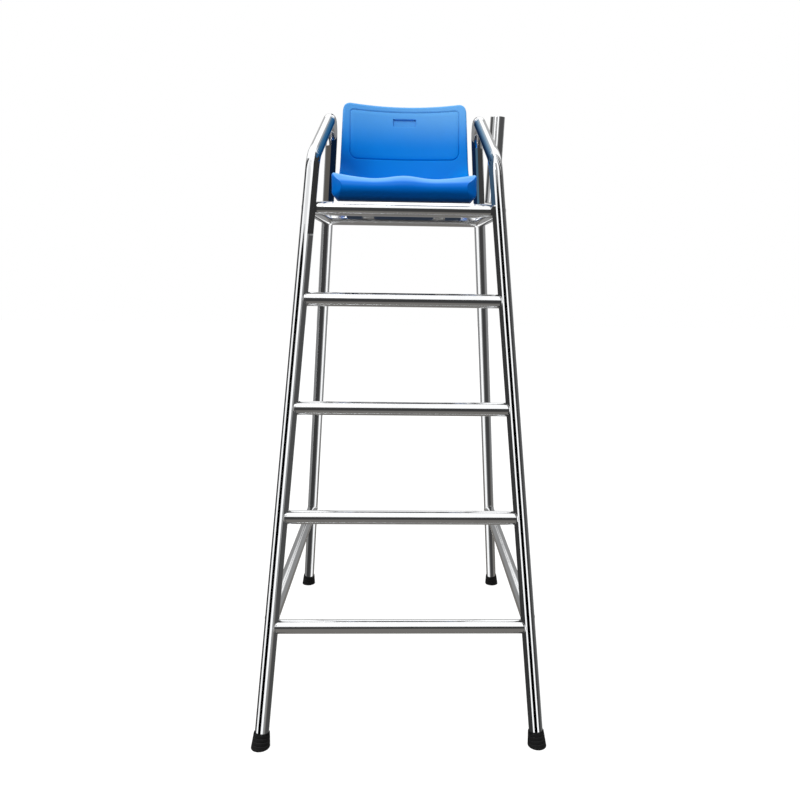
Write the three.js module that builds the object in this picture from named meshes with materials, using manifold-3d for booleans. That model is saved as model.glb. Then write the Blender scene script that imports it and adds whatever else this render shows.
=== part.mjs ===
// Lifeguard chair of bent tube, with a moulded bucket seat and a socket for a parasol.
// Millimetres, +Z up. The sitter faces -Y, and left and right are the sitter's own.
// The origin lies on the floor, in the middle of the four feet.

import * as THREE from 'three';
import { mergeVertices } from 'three/addons/utils/BufferGeometryUtils.js';
import Module from 'manifold-3d';

const wasm = await Module();
wasm.setup();

// Driving dimensions

// Round tube of the frame
const tubeDiameter = 38;
const tubeWall = 1.5;
const bendRadius = 80;

// Frame, measured on tube axes. Width and depth are those at the height of the seat rails.
const seatRailHeight = 1440;
const seatFrameDepth = 515;
const seatSideGap = 35.5;
const splayDegrees = 4.6;
const legLeanDegrees = 10.6;
const armFrontRise = 138;
const armRearRise = 336;
const crossRailSetback = 17.5;

// Steps
const firstRungHeight = 317;
const rungPitch = 292.5;
const rungSetback = 2.4;
const leastTopStep = 200;
const lowerRailHeight = 342;

// Rubber feet
const footHeight = 40;
const footFloor = 9;
const footTopWall = 2.2;
const footBottomWall = 6.2;
const footRibDepth = 1.1;
const footRibCount = 3;

// Flat bars under the seat
const bearerWidth = 40;
const bearerThickness = 6;
const bearerSpacing = 240;

// Moulded seat
const seatWidth = 412;
const seatFrontWidthShare = 0.963;
const seatTopWidthShare = 0.957;
const seatWall = 4;
const earHeight = 76.5;
const lipValleyDepth = 11.3;
const lipTopReach = 248;
const noseReach = 290;
const noseHeight = 40;
const toeReach = 256;
const panFrontReach = 140;
const panFrontHeight = 46;
const panRearHeight = 42;
const rimFrontHeight = 86;
const rimRearHeight = 112;
const backHeight = 343;
const backDip = 9;
const backTopReach = 183;
const backRakeDegrees = 15;
const backThickness = 26;
const backWrap = 32;
const backCornerRadius = 26;
const seatEdgeRadius = 7;
const cheekWidth = 40;
const cheekDepth = 34;
const heelChamferWidth = 21;
const heelChamferHeight = 18;

// Line and recess pressed into the backrest
const grooveWidth = 352;
const grooveBottomHeight = 161;
const grooveTopMargin = 20;
const grooveLine = 5;
const grooveDepth = 2.5;
const grooveTopDip = 5;
const grooveTopRadius = 15;
const grooveBottomRadius = 26;
const recessWidth = 75;
const recessHeight = 24;
const recessDepth = 6;
const recessDrop = 61;

// Fasteners of the seat
const boltDiameter = 8;
const boltHeadWidth = 13;
const boltHeadHeight = 5.3;
const boltReach = 18;
const boltHoleClearance = 0.5;
const washerDiameter = 16;
const washerThickness = 1.6;
const insertDiameter = 14;
const insertLength = 20;
const insertBossWall = 7;
const frontBoltReach = 130;
const rearBoltReach = 60;
const drainDiameter = 8;

// Parasol socket
const socketDiameter = 48;
const socketWall = 2;
const socketLength = 279;
const socketRise = 62;
const socketSplayDegrees = 2.3;
const socketBaseThickness = 3;
const stubDiameter = 25;
const stubWall = 2;
const stubBendShare = 0.2;

// Clearance between pieces that touch, and the length by which a cutting body runs past a piece
const contactGap = 0.3;
const cutOverrun = 30;

// Fineness of the round surfaces
const tubeSides = 24;
const boreSides = 12;
const hexagonSides = 6;
const footSides = 20;
const frontBendSteps = 5;
const rearBendSteps = 8;
const seatStations = 20;
const cavityStations = 8;
const outlineSteps = 4;

// Values worked out from the driving dimensions
const tubeRadius = tubeDiameter / 2;
const socketRadius = socketDiameter / 2;
const splaySlope = Math.tan(THREE.MathUtils.degToRad(splayDegrees));
const leanSlope = Math.tan(THREE.MathUtils.degToRad(legLeanDegrees));
const socketSlope = Math.tan(THREE.MathUtils.degToRad(socketSplayDegrees));
const rakeSlope = Math.tan(THREE.MathUtils.degToRad(backRakeDegrees));
const frameHalfWidth = seatWidth / 2 + seatSideGap + tubeRadius;
const frameHalfDepth = seatFrameDepth / 2;
const seatUnderside = seatRailHeight + tubeRadius + contactGap;
const seatRailReach = frameHalfDepth - crossRailSetback;
const bearerTop = seatUnderside - contactGap;
const bearerBottom = bearerTop - bearerThickness;

const left = 1;
const right = -1;
const front = -1;
const rear = 1;
const sideNames = new Map([[left, 'left'], [right, 'right']]);
const endNames = new Map([[front, 'front'], [rear, 'rear']]);

// Finishes
const finishes = {
  steel: { color: 0xc9cccf, metalness: 1, roughness: 0.14 },
  seat: { color: 0x0070d2, metalness: 0, roughness: 0.38 },
  rubber: { color: 0x161616, metalness: 0, roughness: 0.78 },
  zinc: { color: 0xb4b8bb, metalness: 1, roughness: 0.35 },
  brass: { color: 0xb9964a, metalness: 1, roughness: 0.3 },
};

function piece(name, solid, finish, origin = new THREE.Vector3()) {
  const run = solid.getMesh();
  const geometry = new THREE.BufferGeometry();
  geometry.setAttribute('position', new THREE.BufferAttribute(run.vertProperties, 3));
  geometry.setIndex(new THREE.BufferAttribute(run.triVerts, 1));
  geometry.translate(-origin.x, -origin.y, -origin.z);
  const flat = geometry.toNonIndexed();
  flat.computeVertexNormals();
  const mesh = new THREE.Mesh(flat, new THREE.MeshStandardMaterial(finishes[finish]));
  mesh.name = name;
  mesh.position.copy(origin);
  return mesh;
}

function solidOf(geometry) {
  geometry.deleteAttribute('normal');
  geometry.deleteAttribute('uv');
  const merged = mergeVertices(geometry);
  return new wasm.Manifold(new wasm.Mesh({
    numProp: 3,
    vertProperties: new Float32Array(merged.attributes.position.array),
    triVerts: new Uint32Array(merged.index.array),
  }));
}

// The sawn-off scraps of a cut are dropped, and the largest body stays.
function withoutOffcuts(solid) {
  const bodies = solid.decompose();
  bodies.sort((one, other) => other.volume() - one.volume());
  return bodies[0];
}

function cutBy(solid, cutters) {
  return withoutOffcuts(cutters.reduce((rest, cutter) => rest.subtract(cutter), solid));
}

// The turn that lays the axis of a lathe or cylinder along a direction
function turnedAlong(direction) {
  const lathe = new THREE.Vector3(0, 1, 0);
  return new THREE.Quaternion().setFromUnitVectors(lathe, direction.clone().normalize());
}

function rod(start, end, radius, sides = tubeSides) {
  const direction = end.clone().sub(start);
  const geometry = new THREE.CylinderGeometry(radius, radius, direction.length(), sides);
  geometry.applyQuaternion(turnedAlong(direction));
  const middle = start.clone().add(end).multiplyScalar(0.5);
  geometry.translate(middle.x, middle.y, middle.z);
  return solidOf(geometry);
}

function beyond(start, end, length) {
  return end.clone().add(end.clone().sub(start).setLength(length));
}

function tube(start, end, radius, wall, cutters) {
  const boreEnds = [beyond(end, start, cutOverrun), beyond(start, end, cutOverrun)];
  const bore = rod(...boreEnds, radius - wall, boreSides);
  return cutBy(rod(start, end, radius), [bore, ...cutters]);
}

function block(width, depth, height, centre) {
  const geometry = new THREE.BoxGeometry(width, depth, height);
  geometry.translate(centre.x, centre.y, centre.z);
  return solidOf(geometry);
}

// A point on the axis of a leg, at a height above the floor
function legAxis(side, end, height) {
  const drop = seatRailHeight - height;
  return new THREE.Vector3(
    side * (frameHalfWidth + drop * splaySlope),
    end * (frameHalfDepth + drop * leanSlope),
    height,
  );
}

function legDirection(side, end) {
  return legAxis(side, end, seatRailHeight).sub(legAxis(side, end, 0)).normalize();
}

// A path that meets its stations at equal steps, so that straight runs need no rings between their ends
class StationPath extends THREE.Curve {
  constructor(stations) {
    super();
    this.stations = stations;
  }

  getPoint(t, target = new THREE.Vector3()) {
    const place = t * (this.stations.length - 1);
    const before = Math.min(Math.floor(place), this.stations.length - 2);
    const one = this.stations[before].point;
    const other = this.stations[before + 1].point;
    return target.lerpVectors(one, other, place - before);
  }

  getPointAt(u, target) {
    return this.getPoint(u, target);
  }

  getTangentAt(u, target = new THREE.Vector3()) {
    const nearest = Math.round(u * (this.stations.length - 1));
    return target.copy(this.stations[nearest].tangent);
  }
}

// Stations round one bend, from the tangent point on the incoming run to that on the outgoing run
function bendStations(before, corner, after, radius, steps) {
  const incoming = corner.clone().sub(before).normalize();
  const outgoing = after.clone().sub(corner).normalize();
  const turn = incoming.angleTo(outgoing);
  const setback = radius * Math.tan(turn / 2);
  const axis = incoming.clone().cross(outgoing).normalize();
  const first = corner.clone().addScaledVector(incoming, -setback);
  const centre = first.clone().addScaledVector(axis.clone().cross(incoming), radius);
  return Array.from({ length: steps + 1 }, (_, step) => {
    const angle = (turn * step) / steps;
    const arm = first.clone().sub(centre).applyAxisAngle(axis, angle);
    return { point: arm.add(centre), tangent: incoming.clone().applyAxisAngle(axis, angle) };
  });
}

// Axis of one side frame: up the front leg, back along the armrest and down the rear leg
function sideFrameStations(side) {
  const frontFoot = legAxis(side, front, footFloor + contactGap);
  const frontCorner = legAxis(side, front, seatRailHeight + armFrontRise);
  const rearCorner = legAxis(side, rear, seatRailHeight + armRearRise);
  const rearFoot = legAxis(side, rear, footFloor + contactGap);
  return [
    { point: frontFoot, tangent: legDirection(side, front) },
    ...bendStations(frontFoot, frontCorner, rearCorner, bendRadius, frontBendSteps),
    ...bendStations(frontCorner, rearCorner, rearFoot, bendRadius, rearBendSteps),
    { point: rearFoot, tangent: legDirection(side, rear).negate() },
  ];
}

function polygon(radius, sides) {
  return Array.from({ length: sides }, (_, index) => {
    const angle = (2 * Math.PI * index) / sides;
    return new THREE.Vector2(radius * Math.cos(angle), radius * Math.sin(angle));
  });
}

function sweptTube(stations, radius, boreRadius) {
  const section = new THREE.Shape(polygon(radius, tubeSides));
  if (boreRadius) section.holes.push(new THREE.Path(polygon(boreRadius, boreSides)));
  return solidOf(new THREE.ExtrudeGeometry(section, {
    steps: stations.length - 1,
    extrudePath: new StationPath(stations),
  }));
}

// Feet

function footProfile() {
  const socket = tubeRadius + contactGap;
  const ribPitch = footHeight / (footRibCount + 1);
  const outside = (height) => THREE.MathUtils.lerp(
    socket + footBottomWall,
    socket + footTopWall,
    height / footHeight,
  );
  const profile = [
    new THREE.Vector2(0, -footFloor),
    new THREE.Vector2(outside(-footFloor), -footFloor),
  ];
  for (let rib = 0; rib < footRibCount; rib += 1) {
    const ribTop = (rib + 1) * ribPitch;
    profile.push(new THREE.Vector2(outside(ribTop), ribTop));
    profile.push(new THREE.Vector2(outside(ribTop) - footRibDepth, ribTop + footRibDepth));
  }
  profile.push(new THREE.Vector2(outside(footHeight), footHeight));
  profile.push(new THREE.Vector2(socket, footHeight));
  profile.push(new THREE.Vector2(socket, footFloor));
  profile.push(new THREE.Vector2(0, footFloor));
  return profile;
}

// A ribbed cup along the leg, its sole cut flat on the floor
function foot(side, end) {
  const geometry = new THREE.LatheGeometry(footProfile(), footSides);
  geometry.applyQuaternion(turnedAlong(legDirection(side, end)));
  const place = legAxis(side, end, 0);
  geometry.translate(place.x, place.y, place.z);
  const reach = 2 * (footHeight + tubeDiameter);
  const floor = block(reach, reach, reach, new THREE.Vector3(place.x, place.y, -reach / 2));
  const name = `${sideNames.get(side)}_${endNames.get(end)}_foot`;
  return piece(name, cutBy(solidOf(geometry), [floor]), 'rubber', place);
}

// Frame

function frameParts() {
  const parts = new THREE.Group();
  const grownRadius = tubeRadius + contactGap;
  const grownFrames = [left, right].map((side) => sweptTube(sideFrameStations(side), grownRadius));

  for (const side of [left, right]) {
    const solid = sweptTube(sideFrameStations(side), tubeRadius, tubeRadius - tubeWall);
    parts.add(piece(`${sideNames.get(side)}_side_frame`, solid, 'steel'));
  }

  const rungRoom = seatRailHeight - firstRungHeight - leastTopStep;
  const rungCount = 1 + Math.floor(rungRoom / rungPitch);
  // The steps lie a little behind the legs' axes, so the fronts of the legs stay whole
  const setback = new THREE.Vector3(0, rungSetback, 0);
  const grownRungs = [];
  for (let step = 0; step < rungCount; step += 1) {
    const height = firstRungHeight + step * rungPitch;
    const start = legAxis(right, front, height).add(setback);
    const end = legAxis(left, front, height).add(setback);
    const middle = start.clone().add(end).multiplyScalar(0.5);
    const solid = tube(start, end, tubeRadius, tubeWall, grownFrames);
    parts.add(piece(`step_rung_${step + 1}`, solid, 'steel', middle));
    grownRungs.push(rod(start, end, grownRadius));
  }

  const grownSideRails = [];
  const railLevels = [
    { level: 'lower', height: lowerRailHeight, rungs: grownRungs },
    { level: 'seat', height: seatRailHeight, rungs: [] },
  ];
  for (const side of [left, right]) {
    for (const { level, height, rungs } of railLevels) {
      const start = legAxis(side, front, height);
      const end = legAxis(side, rear, height);
      const middle = start.clone().add(end).multiplyScalar(0.5);
      const solid = tube(start, end, tubeRadius, tubeWall, [...grownFrames, ...rungs]);
      parts.add(piece(`${sideNames.get(side)}_${level}_side_rail`, solid, 'steel', middle));
      grownSideRails.push(rod(start, end, grownRadius));
    }
  }

  const grownCrossRails = [];
  for (const end of [front, rear]) {
    const middle = new THREE.Vector3(0, end * seatRailReach, seatRailHeight);
    const span = new THREE.Vector3(frameHalfWidth, 0, 0);
    const start = middle.clone().sub(span);
    const finish = middle.clone().add(span);
    const solid = tube(start, finish, tubeRadius, tubeWall, [...grownFrames, ...grownSideRails]);
    parts.add(piece(`seat_${endNames.get(end)}_rail`, solid, 'steel', middle));
    grownCrossRails.push(rod(start, finish, grownRadius));
  }

  for (const side of [left, right]) {
    const middle = new THREE.Vector3(side * bearerSpacing / 2, 0, (bearerTop + bearerBottom) / 2);
    const bar = block(bearerWidth, 2 * seatRailReach, bearerThickness, middle);
    const holes = boltPlaces().map((place) => boltBore(place, boltDiameter / 2 + boltHoleClearance));
    const solid = cutBy(bar, [...grownCrossRails, ...holes]);
    parts.add(piece(`${sideNames.get(side)}_seat_bearer`, solid, 'steel', middle));
  }
  return parts;
}

// Seat fasteners

// Points on the underside of the seat, front right first
function boltPlaces() {
  const places = [];
  for (const y of [-frontBoltReach, rearBoltReach]) {
    for (const side of [right, left]) {
      places.push(new THREE.Vector3(side * bearerSpacing / 2, y, seatUnderside));
    }
  }
  return places;
}

function boltBore(place, radius) {
  const below = place.clone().setZ(bearerBottom - cutOverrun);
  const above = place.clone().setZ(bearerTop + cutOverrun);
  return rod(below, above, radius, boreSides);
}

function lathed(points, sides) {
  const outline = points.map(([radius, height]) => new THREE.Vector2(radius, height));
  const geometry = new THREE.LatheGeometry(outline, sides);
  geometry.rotateX(Math.PI / 2);
  return solidOf(geometry);
}

function ring(outerRadius, innerRadius, bottom, top) {
  const outline = [
    [innerRadius, bottom],
    [outerRadius, bottom],
    [outerRadius, top],
    [innerRadius, top],
    [innerRadius, bottom],
  ];
  return lathed(outline, boreSides);
}

// Hexagon bolt, measured from the underside of the seat
function bolt() {
  const headTop = bearerBottom - seatUnderside - washerThickness - 2 * contactGap;
  const headRadius = boltHeadWidth / 2 / Math.cos(Math.PI / hexagonSides);
  const upTo = (height) => new THREE.Vector3(0, 0, height);
  const head = rod(upTo(headTop - boltHeadHeight), upTo(headTop), headRadius, hexagonSides);
  const shank = rod(upTo(headTop - boltHeadHeight / 2), upTo(boltReach), boltDiameter / 2, boreSides);
  return head.add(shank);
}

function fastenerParts() {
  const parts = new THREE.Group();
  const washerTop = bearerBottom - seatUnderside - contactGap;
  const washerBottom = washerTop - washerThickness;
  const shankRoom = boltDiameter / 2 + contactGap;
  boltPlaces().forEach((place, index) => {
    const set = new THREE.Group();
    const washer = ring(washerDiameter / 2, shankRoom, washerBottom, washerTop);
    const insert = ring(insertDiameter / 2, shankRoom, 0, insertLength);
    set.add(piece(`seat_bolt_${index + 1}`, bolt(), 'zinc'));
    set.add(piece(`seat_washer_${index + 1}`, washer, 'zinc'));
    set.add(piece(`seat_insert_${index + 1}`, insert, 'brass'));
    set.position.copy(place);
    parts.add(set);
  });
  return parts;
}

// Seat

// Fall of the lip below its ears, from the middle to the side, as shares of the half width and of the depth
const lipFallShares = [[0, 0.14], [0.11, 0.3], [0.24, 0.72], [0.38, 1], [0.6, 0.84], [0.85, 0.42], [1, 0]];
const lipFall = new THREE.SplineCurve(lipFallShares.map((shares) => new THREE.Vector2(...shares)));
const panFlatShare = 0.45;

// The most of an edge that the arc at one of its ends may take up
const cornerRoomShare = 0.48;

// Halvings of the curve's length that find the place on it above a point
const curveHalvings = 24;

function lipFallAt(across) {
  let low = 0;
  let high = 1;
  for (let halving = 0; halving < curveHalvings; halving += 1) {
    const middle = (low + high) / 2;
    if (lipFall.getPoint(middle).x < across) low = middle;
    else high = middle;
  }
  return lipFall.getPoint(low).y;
}

// A closed outline with each corner replaced by an arc of a fixed number of steps
function roundedOutline(corners, steps) {
  return corners.flatMap(({ at, radius }, index) => {
    const before = corners[(index + corners.length - 1) % corners.length].at;
    const after = corners[(index + 1) % corners.length].at;
    const toBefore = before.clone().sub(at);
    const toAfter = after.clone().sub(at);
    const half = Math.acos(toBefore.dot(toAfter) / toBefore.length() / toAfter.length()) / 2;
    const room = cornerRoomShare * Math.min(toBefore.length(), toAfter.length());
    const setback = Math.min(radius / Math.tan(half), room);
    const first = at.clone().addScaledVector(toBefore.normalize(), setback);
    const inward = toBefore.clone().add(toAfter.normalize()).normalize();
    const centre = at.clone().addScaledVector(inward, setback / Math.cos(half));
    const sweep = Math.sign(toAfter.cross(toBefore)) * (Math.PI - 2 * half);
    return Array.from({ length: steps + 1 }, (_, step) => (
      first.clone().rotateAround(centre, (sweep * step) / steps)
    ));
  });
}

// Outline of the seat in a fore-and-aft plane: across runs from 0 in the middle to 1 at the side
function seatCorners(across, fromSide) {
  const wrap = backWrap * across * across;
  const bolster = THREE.MathUtils.smoothstep(across, panFlatShare, 1);
  const lipTop = earHeight - lipValleyDepth * lipFallAt(across);
  const panFront = THREE.MathUtils.lerp(panFrontHeight, rimFrontHeight, bolster);
  const panRear = THREE.MathUtils.lerp(panRearHeight, rimRearHeight, bolster);
  const cornerCut = Math.max(0, backCornerRadius - fromSide);
  const cornerDrop = backCornerRadius - Math.sqrt(backCornerRadius ** 2 - cornerCut ** 2);
  const backTop = backHeight - backDip * (1 - across * across) - cornerDrop;
  const heel = heelChamferHeight * Math.max(0, 1 - fromSide / heelChamferWidth);
  const backFront = (height) => backTopReach - wrap - rakeSlope * (backHeight - height);
  return [
    { at: new THREE.Vector2(-toeReach, heel), radius: seatEdgeRadius * 2 },
    { at: new THREE.Vector2(-noseReach, noseHeight), radius: noseHeight },
    { at: new THREE.Vector2(-lipTopReach, lipTop), radius: noseHeight },
    { at: new THREE.Vector2(-panFrontReach, panFront), radius: panFrontReach / 2 },
    { at: new THREE.Vector2(backFront(panRear), panRear), radius: panFrontReach / 2 },
    { at: new THREE.Vector2(backFront(backTop), backTop), radius: backThickness / 3 },
    { at: new THREE.Vector2(backFront(backTop) + backThickness, backTop), radius: backThickness / 3 },
    { at: new THREE.Vector2(backFront(heel) + backThickness, heel), radius: backThickness },
  ];
}

// Half the seat's width at a place on its outline
function seatHalfWidth(point) {
  const forward = THREE.MathUtils.clamp((backTopReach - point.x) / (backTopReach + noseReach), 0, 1);
  const upward = THREE.MathUtils.clamp((point.y - rimRearHeight) / (backHeight - rimRearHeight), 0, 1);
  const narrowing = (1 - seatFrontWidthShare) * forward + (1 - seatTopWidthShare) * upward;
  return (seatWidth / 2) * (1 - narrowing);
}

function insetOutline(outline, inset) {
  return outline.map((point, index) => {
    const before = outline[(index + outline.length - 1) % outline.length];
    const after = outline[(index + 1) % outline.length];
    const along = after.clone().sub(before).normalize();
    return point.clone().add(new THREE.Vector2(along.y, -along.x).multiplyScalar(inset));
  });
}

// One fore-and-aft section of the seat. Towards the side it draws in, which rounds the rim.
function seatSection(share, wall, steps) {
  const across = Math.abs(share);
  const fromSide = (1 - across) * (seatWidth / 2 - wall);
  const outline = roundedOutline(seatCorners(across, fromSide), steps);
  const edgeCut = Math.max(0, seatEdgeRadius - fromSide);
  const drawnIn = seatEdgeRadius - Math.sqrt(seatEdgeRadius ** 2 - edgeCut ** 2);
  const rimInset = wall > 0 ? wall : drawnIn;
  return insetOutline(outline, rimInset).map((point) => new THREE.Vector3(
    share * (seatHalfWidth(point) - wall),
    point.x,
    point.y + seatUnderside,
  ));
}

// Loft of the seat's sections. A wall above zero gives the hollow inside.
function seatLoft(wall, stations, steps) {
  const sections = Array.from({ length: stations + 1 }, (_, index) => {
    const share = Math.sin((Math.PI / 2) * ((2 * index) / stations - 1));
    return seatSection(share, wall, steps);
  });
  const count = sections[0].length;
  const triangles = [];
  for (let station = 0; station < stations; station += 1) {
    for (let index = 0; index < count; index += 1) {
      const next = (index + 1) % count;
      const one = station * count;
      const other = one + count;
      triangles.push(one + index, other + index, other + next);
      triangles.push(one + index, other + next, one + next);
    }
  }
  const cap = (section) => THREE.ShapeUtils.triangulateShape(
    section.map((point) => new THREE.Vector2(point.y, point.z)),
    [],
  );
  for (const [a, b, c] of cap(sections[0])) triangles.push(a, c, b);
  const last = stations * count;
  for (const [a, b, c] of cap(sections[stations])) triangles.push(last + a, last + b, last + c);
  const geometry = new THREE.BufferGeometry();
  geometry.setAttribute('position', new THREE.Float32BufferAttribute(
    sections.flat().flatMap((point) => point.toArray()),
    3,
  ));
  geometry.setIndex(triangles);
  return solidOf(geometry);
}

// The body that takes a front corner off the seat, its face set back by the wall for the hollow inside
function cheekCutter(side, wall) {
  const reach = seatWidth;
  const geometry = new THREE.BoxGeometry(reach, reach, reach);
  geometry.translate(0, wall - reach / 2, 0);
  geometry.rotateZ(side * Math.atan2(cheekDepth, cheekWidth));
  const halfWidth = (seatWidth * seatFrontWidthShare) / 2;
  geometry.translate(side * (halfWidth - cheekWidth), -noseReach, seatUnderside);
  return solidOf(geometry);
}

// A prism of an outline in the plane of the backrest, long enough to pass through it
function backPrism(shape) {
  const reach = noseReach + backTopReach;
  const geometry = new THREE.ExtrudeGeometry(shape, {
    depth: reach,
    bevelEnabled: false,
    curveSegments: outlineSteps,
  });
  geometry.rotateX(Math.PI / 2);
  geometry.translate(0, reach + (backTopReach - backWrap) / 2, seatUnderside);
  return solidOf(geometry);
}

function grooveOutline(target, margin) {
  const halfWidth = grooveWidth / 2 - margin;
  const bottom = grooveBottomHeight + margin;
  const top = backHeight - grooveTopMargin - margin;
  const lowRadius = grooveBottomRadius - margin;
  const topRadius = grooveTopRadius - margin;
  target.moveTo(lowRadius - halfWidth, bottom);
  target.lineTo(halfWidth - lowRadius, bottom);
  target.quadraticCurveTo(halfWidth, bottom, halfWidth, bottom + lowRadius);
  target.lineTo(halfWidth, top - topRadius);
  target.quadraticCurveTo(halfWidth, top, halfWidth - topRadius, top);
  target.quadraticCurveTo(0, top - 2 * grooveTopDip, topRadius - halfWidth, top);
  target.quadraticCurveTo(-halfWidth, top, -halfWidth, top - topRadius);
  target.lineTo(-halfWidth, bottom + lowRadius);
  target.quadraticCurveTo(-halfWidth, bottom, lowRadius - halfWidth, bottom);
  return target;
}

function recessOutline() {
  const centre = backHeight - recessDrop;
  return new THREE.Shape([
    new THREE.Vector2(-recessWidth / 2, centre - recessHeight / 2),
    new THREE.Vector2(recessWidth / 2, centre - recessHeight / 2),
    new THREE.Vector2(recessWidth / 2, centre + recessHeight / 2),
    new THREE.Vector2(-recessWidth / 2, centre + recessHeight / 2),
  ]);
}

// The skin of a body that a prism covers, to a depth measured front to back
function skinUnder(prism, body, depth) {
  return prism.subtract(body.translate([0, depth, 0]));
}

function seatShell() {
  const outerCheeks = [left, right].map((side) => cheekCutter(side, 0));
  const innerCheeks = [left, right].map((side) => cheekCutter(side, seatWall));
  const body = cutBy(seatLoft(0, seatStations, outlineSteps), outerCheeks);
  const bosses = boltPlaces().map((place) => boltBore(place, insertDiameter / 2 + insertBossWall));
  const hollow = withoutOffcuts(seatLoft(seatWall, cavityStations, outlineSteps - 1));
  const cavity = cutBy(hollow, [...bosses, ...innerCheeks]);
  const groove = grooveOutline(new THREE.Shape(), 0);
  groove.holes.push(grooveOutline(new THREE.Path(), grooveLine));
  const pockets = boltPlaces().map((place) => rod(
    place.clone().setZ(seatUnderside - cutOverrun),
    place.clone().setZ(seatUnderside + insertLength + contactGap),
    insertDiameter / 2 + contactGap,
    boreSides,
  ));
  const drain = rod(
    new THREE.Vector3(0, 0, seatUnderside - cutOverrun),
    new THREE.Vector3(0, 0, seatUnderside + 2 * seatWall),
    drainDiameter / 2,
    boreSides,
  );
  const cutters = [
    skinUnder(backPrism(groove), body, grooveDepth),
    skinUnder(backPrism(recessOutline()), body, recessDepth),
    cavity,
    drain,
    ...pockets,
  ];
  return piece('seat_shell', cutBy(body, cutters), 'seat');
}

// Parasol socket, on the sitter's left

function socketParts() {
  const parts = new THREE.Group();
  const side = left;
  const bottomHeight = seatRailHeight + socketRise;
  const leg = legAxis(side, rear, bottomHeight);
  const legStretch = 1 / legDirection(side, rear).z;
  const standOff = (tubeRadius + socketRadius) * legStretch + contactGap;
  const bottom = new THREE.Vector3(leg.x + side * standOff, leg.y, bottomHeight);
  const top = bottom.clone().add(new THREE.Vector3(side * socketSlope * socketLength, 0, socketLength));
  const bore = socketRadius - socketWall;
  const stations = sideFrameStations(side);
  const grownFrame = sweptTube(stations, tubeRadius + contactGap);
  const socket = tube(bottom, top, socketRadius, socketWall, [grownFrame]);
  parts.add(piece('parasol_socket', socket, 'steel', bottom));

  const baseTop = bottom.clone().lerp(top, socketBaseThickness / socketLength);
  const drainEnds = [beyond(baseTop, bottom, cutOverrun), beyond(bottom, baseTop, cutOverrun)];
  const drain = rod(...drainEnds, drainDiameter / 2, boreSides);
  const base = rod(bottom, baseTop, bore - contactGap, boreSides);
  parts.add(piece('parasol_socket_base', cutBy(base, [drain, grownFrame]), 'steel', bottom));

  const bend = stations.slice(-2 - rearBendSteps, -1);
  const bendPlace = (1 - stubBendShare) * rearBendSteps;
  const bendIndex = Math.min(Math.floor(bendPlace), rearBendSteps - 1);
  const onFrame = bend[bendIndex].point.clone().lerp(bend[bendIndex + 1].point, bendPlace - bendIndex);
  const onSocket = bottom.clone().lerp(top, (onFrame.z - bottom.z) / (top.z - bottom.z));
  const socketEnds = [beyond(top, bottom, cutOverrun), beyond(bottom, top, cutOverrun)];
  const grownSocket = rod(...socketEnds, socketRadius + contactGap);
  const stub = tube(onFrame, onSocket, stubDiameter / 2, stubWall, [grownFrame, grownSocket]);
  parts.add(piece('parasol_socket_stub', stub, 'steel', onFrame));
  return parts;
}

const chair = new THREE.Group();
chair.add(frameParts());
for (const side of [left, right]) {
  for (const end of [front, rear]) chair.add(foot(side, end));
}
chair.add(seatShell());
chair.add(fastenerParts());
chair.add(socketParts());

export default chair;
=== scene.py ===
"""Looks of a tall lifeguard chair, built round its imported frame.

The chair is a frame of bent tube with steps, a moulded bucket seat, rubber feet and a parasol socket.
Lengths are metres in the frame's axes: +Z up, the sitter faces -Y, and the sitter's left is +X.
In a finish, a noise is given as its cells per metre and its octaves, a relief as its depth and how much of
it shows, and a ramp as the values at which it starts and ends.
"""

import logging
import math
from collections.abc import Callable, Sequence
from dataclasses import dataclass, field
from enum import Enum

import bmesh
import bpy
import numpy as np
from mathutils import Matrix, Vector
from mathutils.geometry import delaunay_2d_cdt


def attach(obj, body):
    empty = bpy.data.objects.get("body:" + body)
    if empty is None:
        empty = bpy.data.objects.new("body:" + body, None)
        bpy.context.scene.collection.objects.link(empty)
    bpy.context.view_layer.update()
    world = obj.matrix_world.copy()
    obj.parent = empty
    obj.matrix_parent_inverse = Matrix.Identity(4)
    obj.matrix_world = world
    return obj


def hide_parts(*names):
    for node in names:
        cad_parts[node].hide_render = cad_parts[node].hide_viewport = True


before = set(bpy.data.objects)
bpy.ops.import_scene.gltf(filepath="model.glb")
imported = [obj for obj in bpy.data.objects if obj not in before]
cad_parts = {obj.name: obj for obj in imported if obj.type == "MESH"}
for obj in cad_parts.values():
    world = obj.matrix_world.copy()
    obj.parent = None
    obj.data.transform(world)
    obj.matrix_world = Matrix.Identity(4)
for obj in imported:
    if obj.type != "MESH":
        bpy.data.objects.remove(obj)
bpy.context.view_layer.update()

LOG = logging.getLogger("lifeguard_chair")
MM = 0.001
TOWARDS_LEFT = np.array([1.0, 0.0, 0.0])
FORWARD = np.array([0.0, -1.0, 0.0])
UP = np.array([0.0, 0.0, 1.0])

Colour = tuple[float, ...]
Span = tuple[float, float]
Station = tuple[np.ndarray, np.ndarray]


class Side(Enum):
    """The sitter's own sides, as signs along X."""

    LEFT = 1
    RIGHT = -1


class End(Enum):
    """Front and rear, as signs along Y."""

    FRONT = -1
    REAR = 1


class Grain(Enum):
    """The direction in which a tube was polished, as the stretch of its fine lines along X, Y and Z."""

    UPRIGHT = (900.0, 900.0, 14.0)
    ACROSS = (14.0, 900.0, 900.0)
    FORE_AFT = (900.0, 14.0, 900.0)


class Slot(Enum):
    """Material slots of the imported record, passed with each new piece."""

    STEEL = "polished_steel"
    PLASTIC = "seat_plastic"
    RUBBER = "foot_rubber"
    ZINC = "plated_steel"


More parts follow.
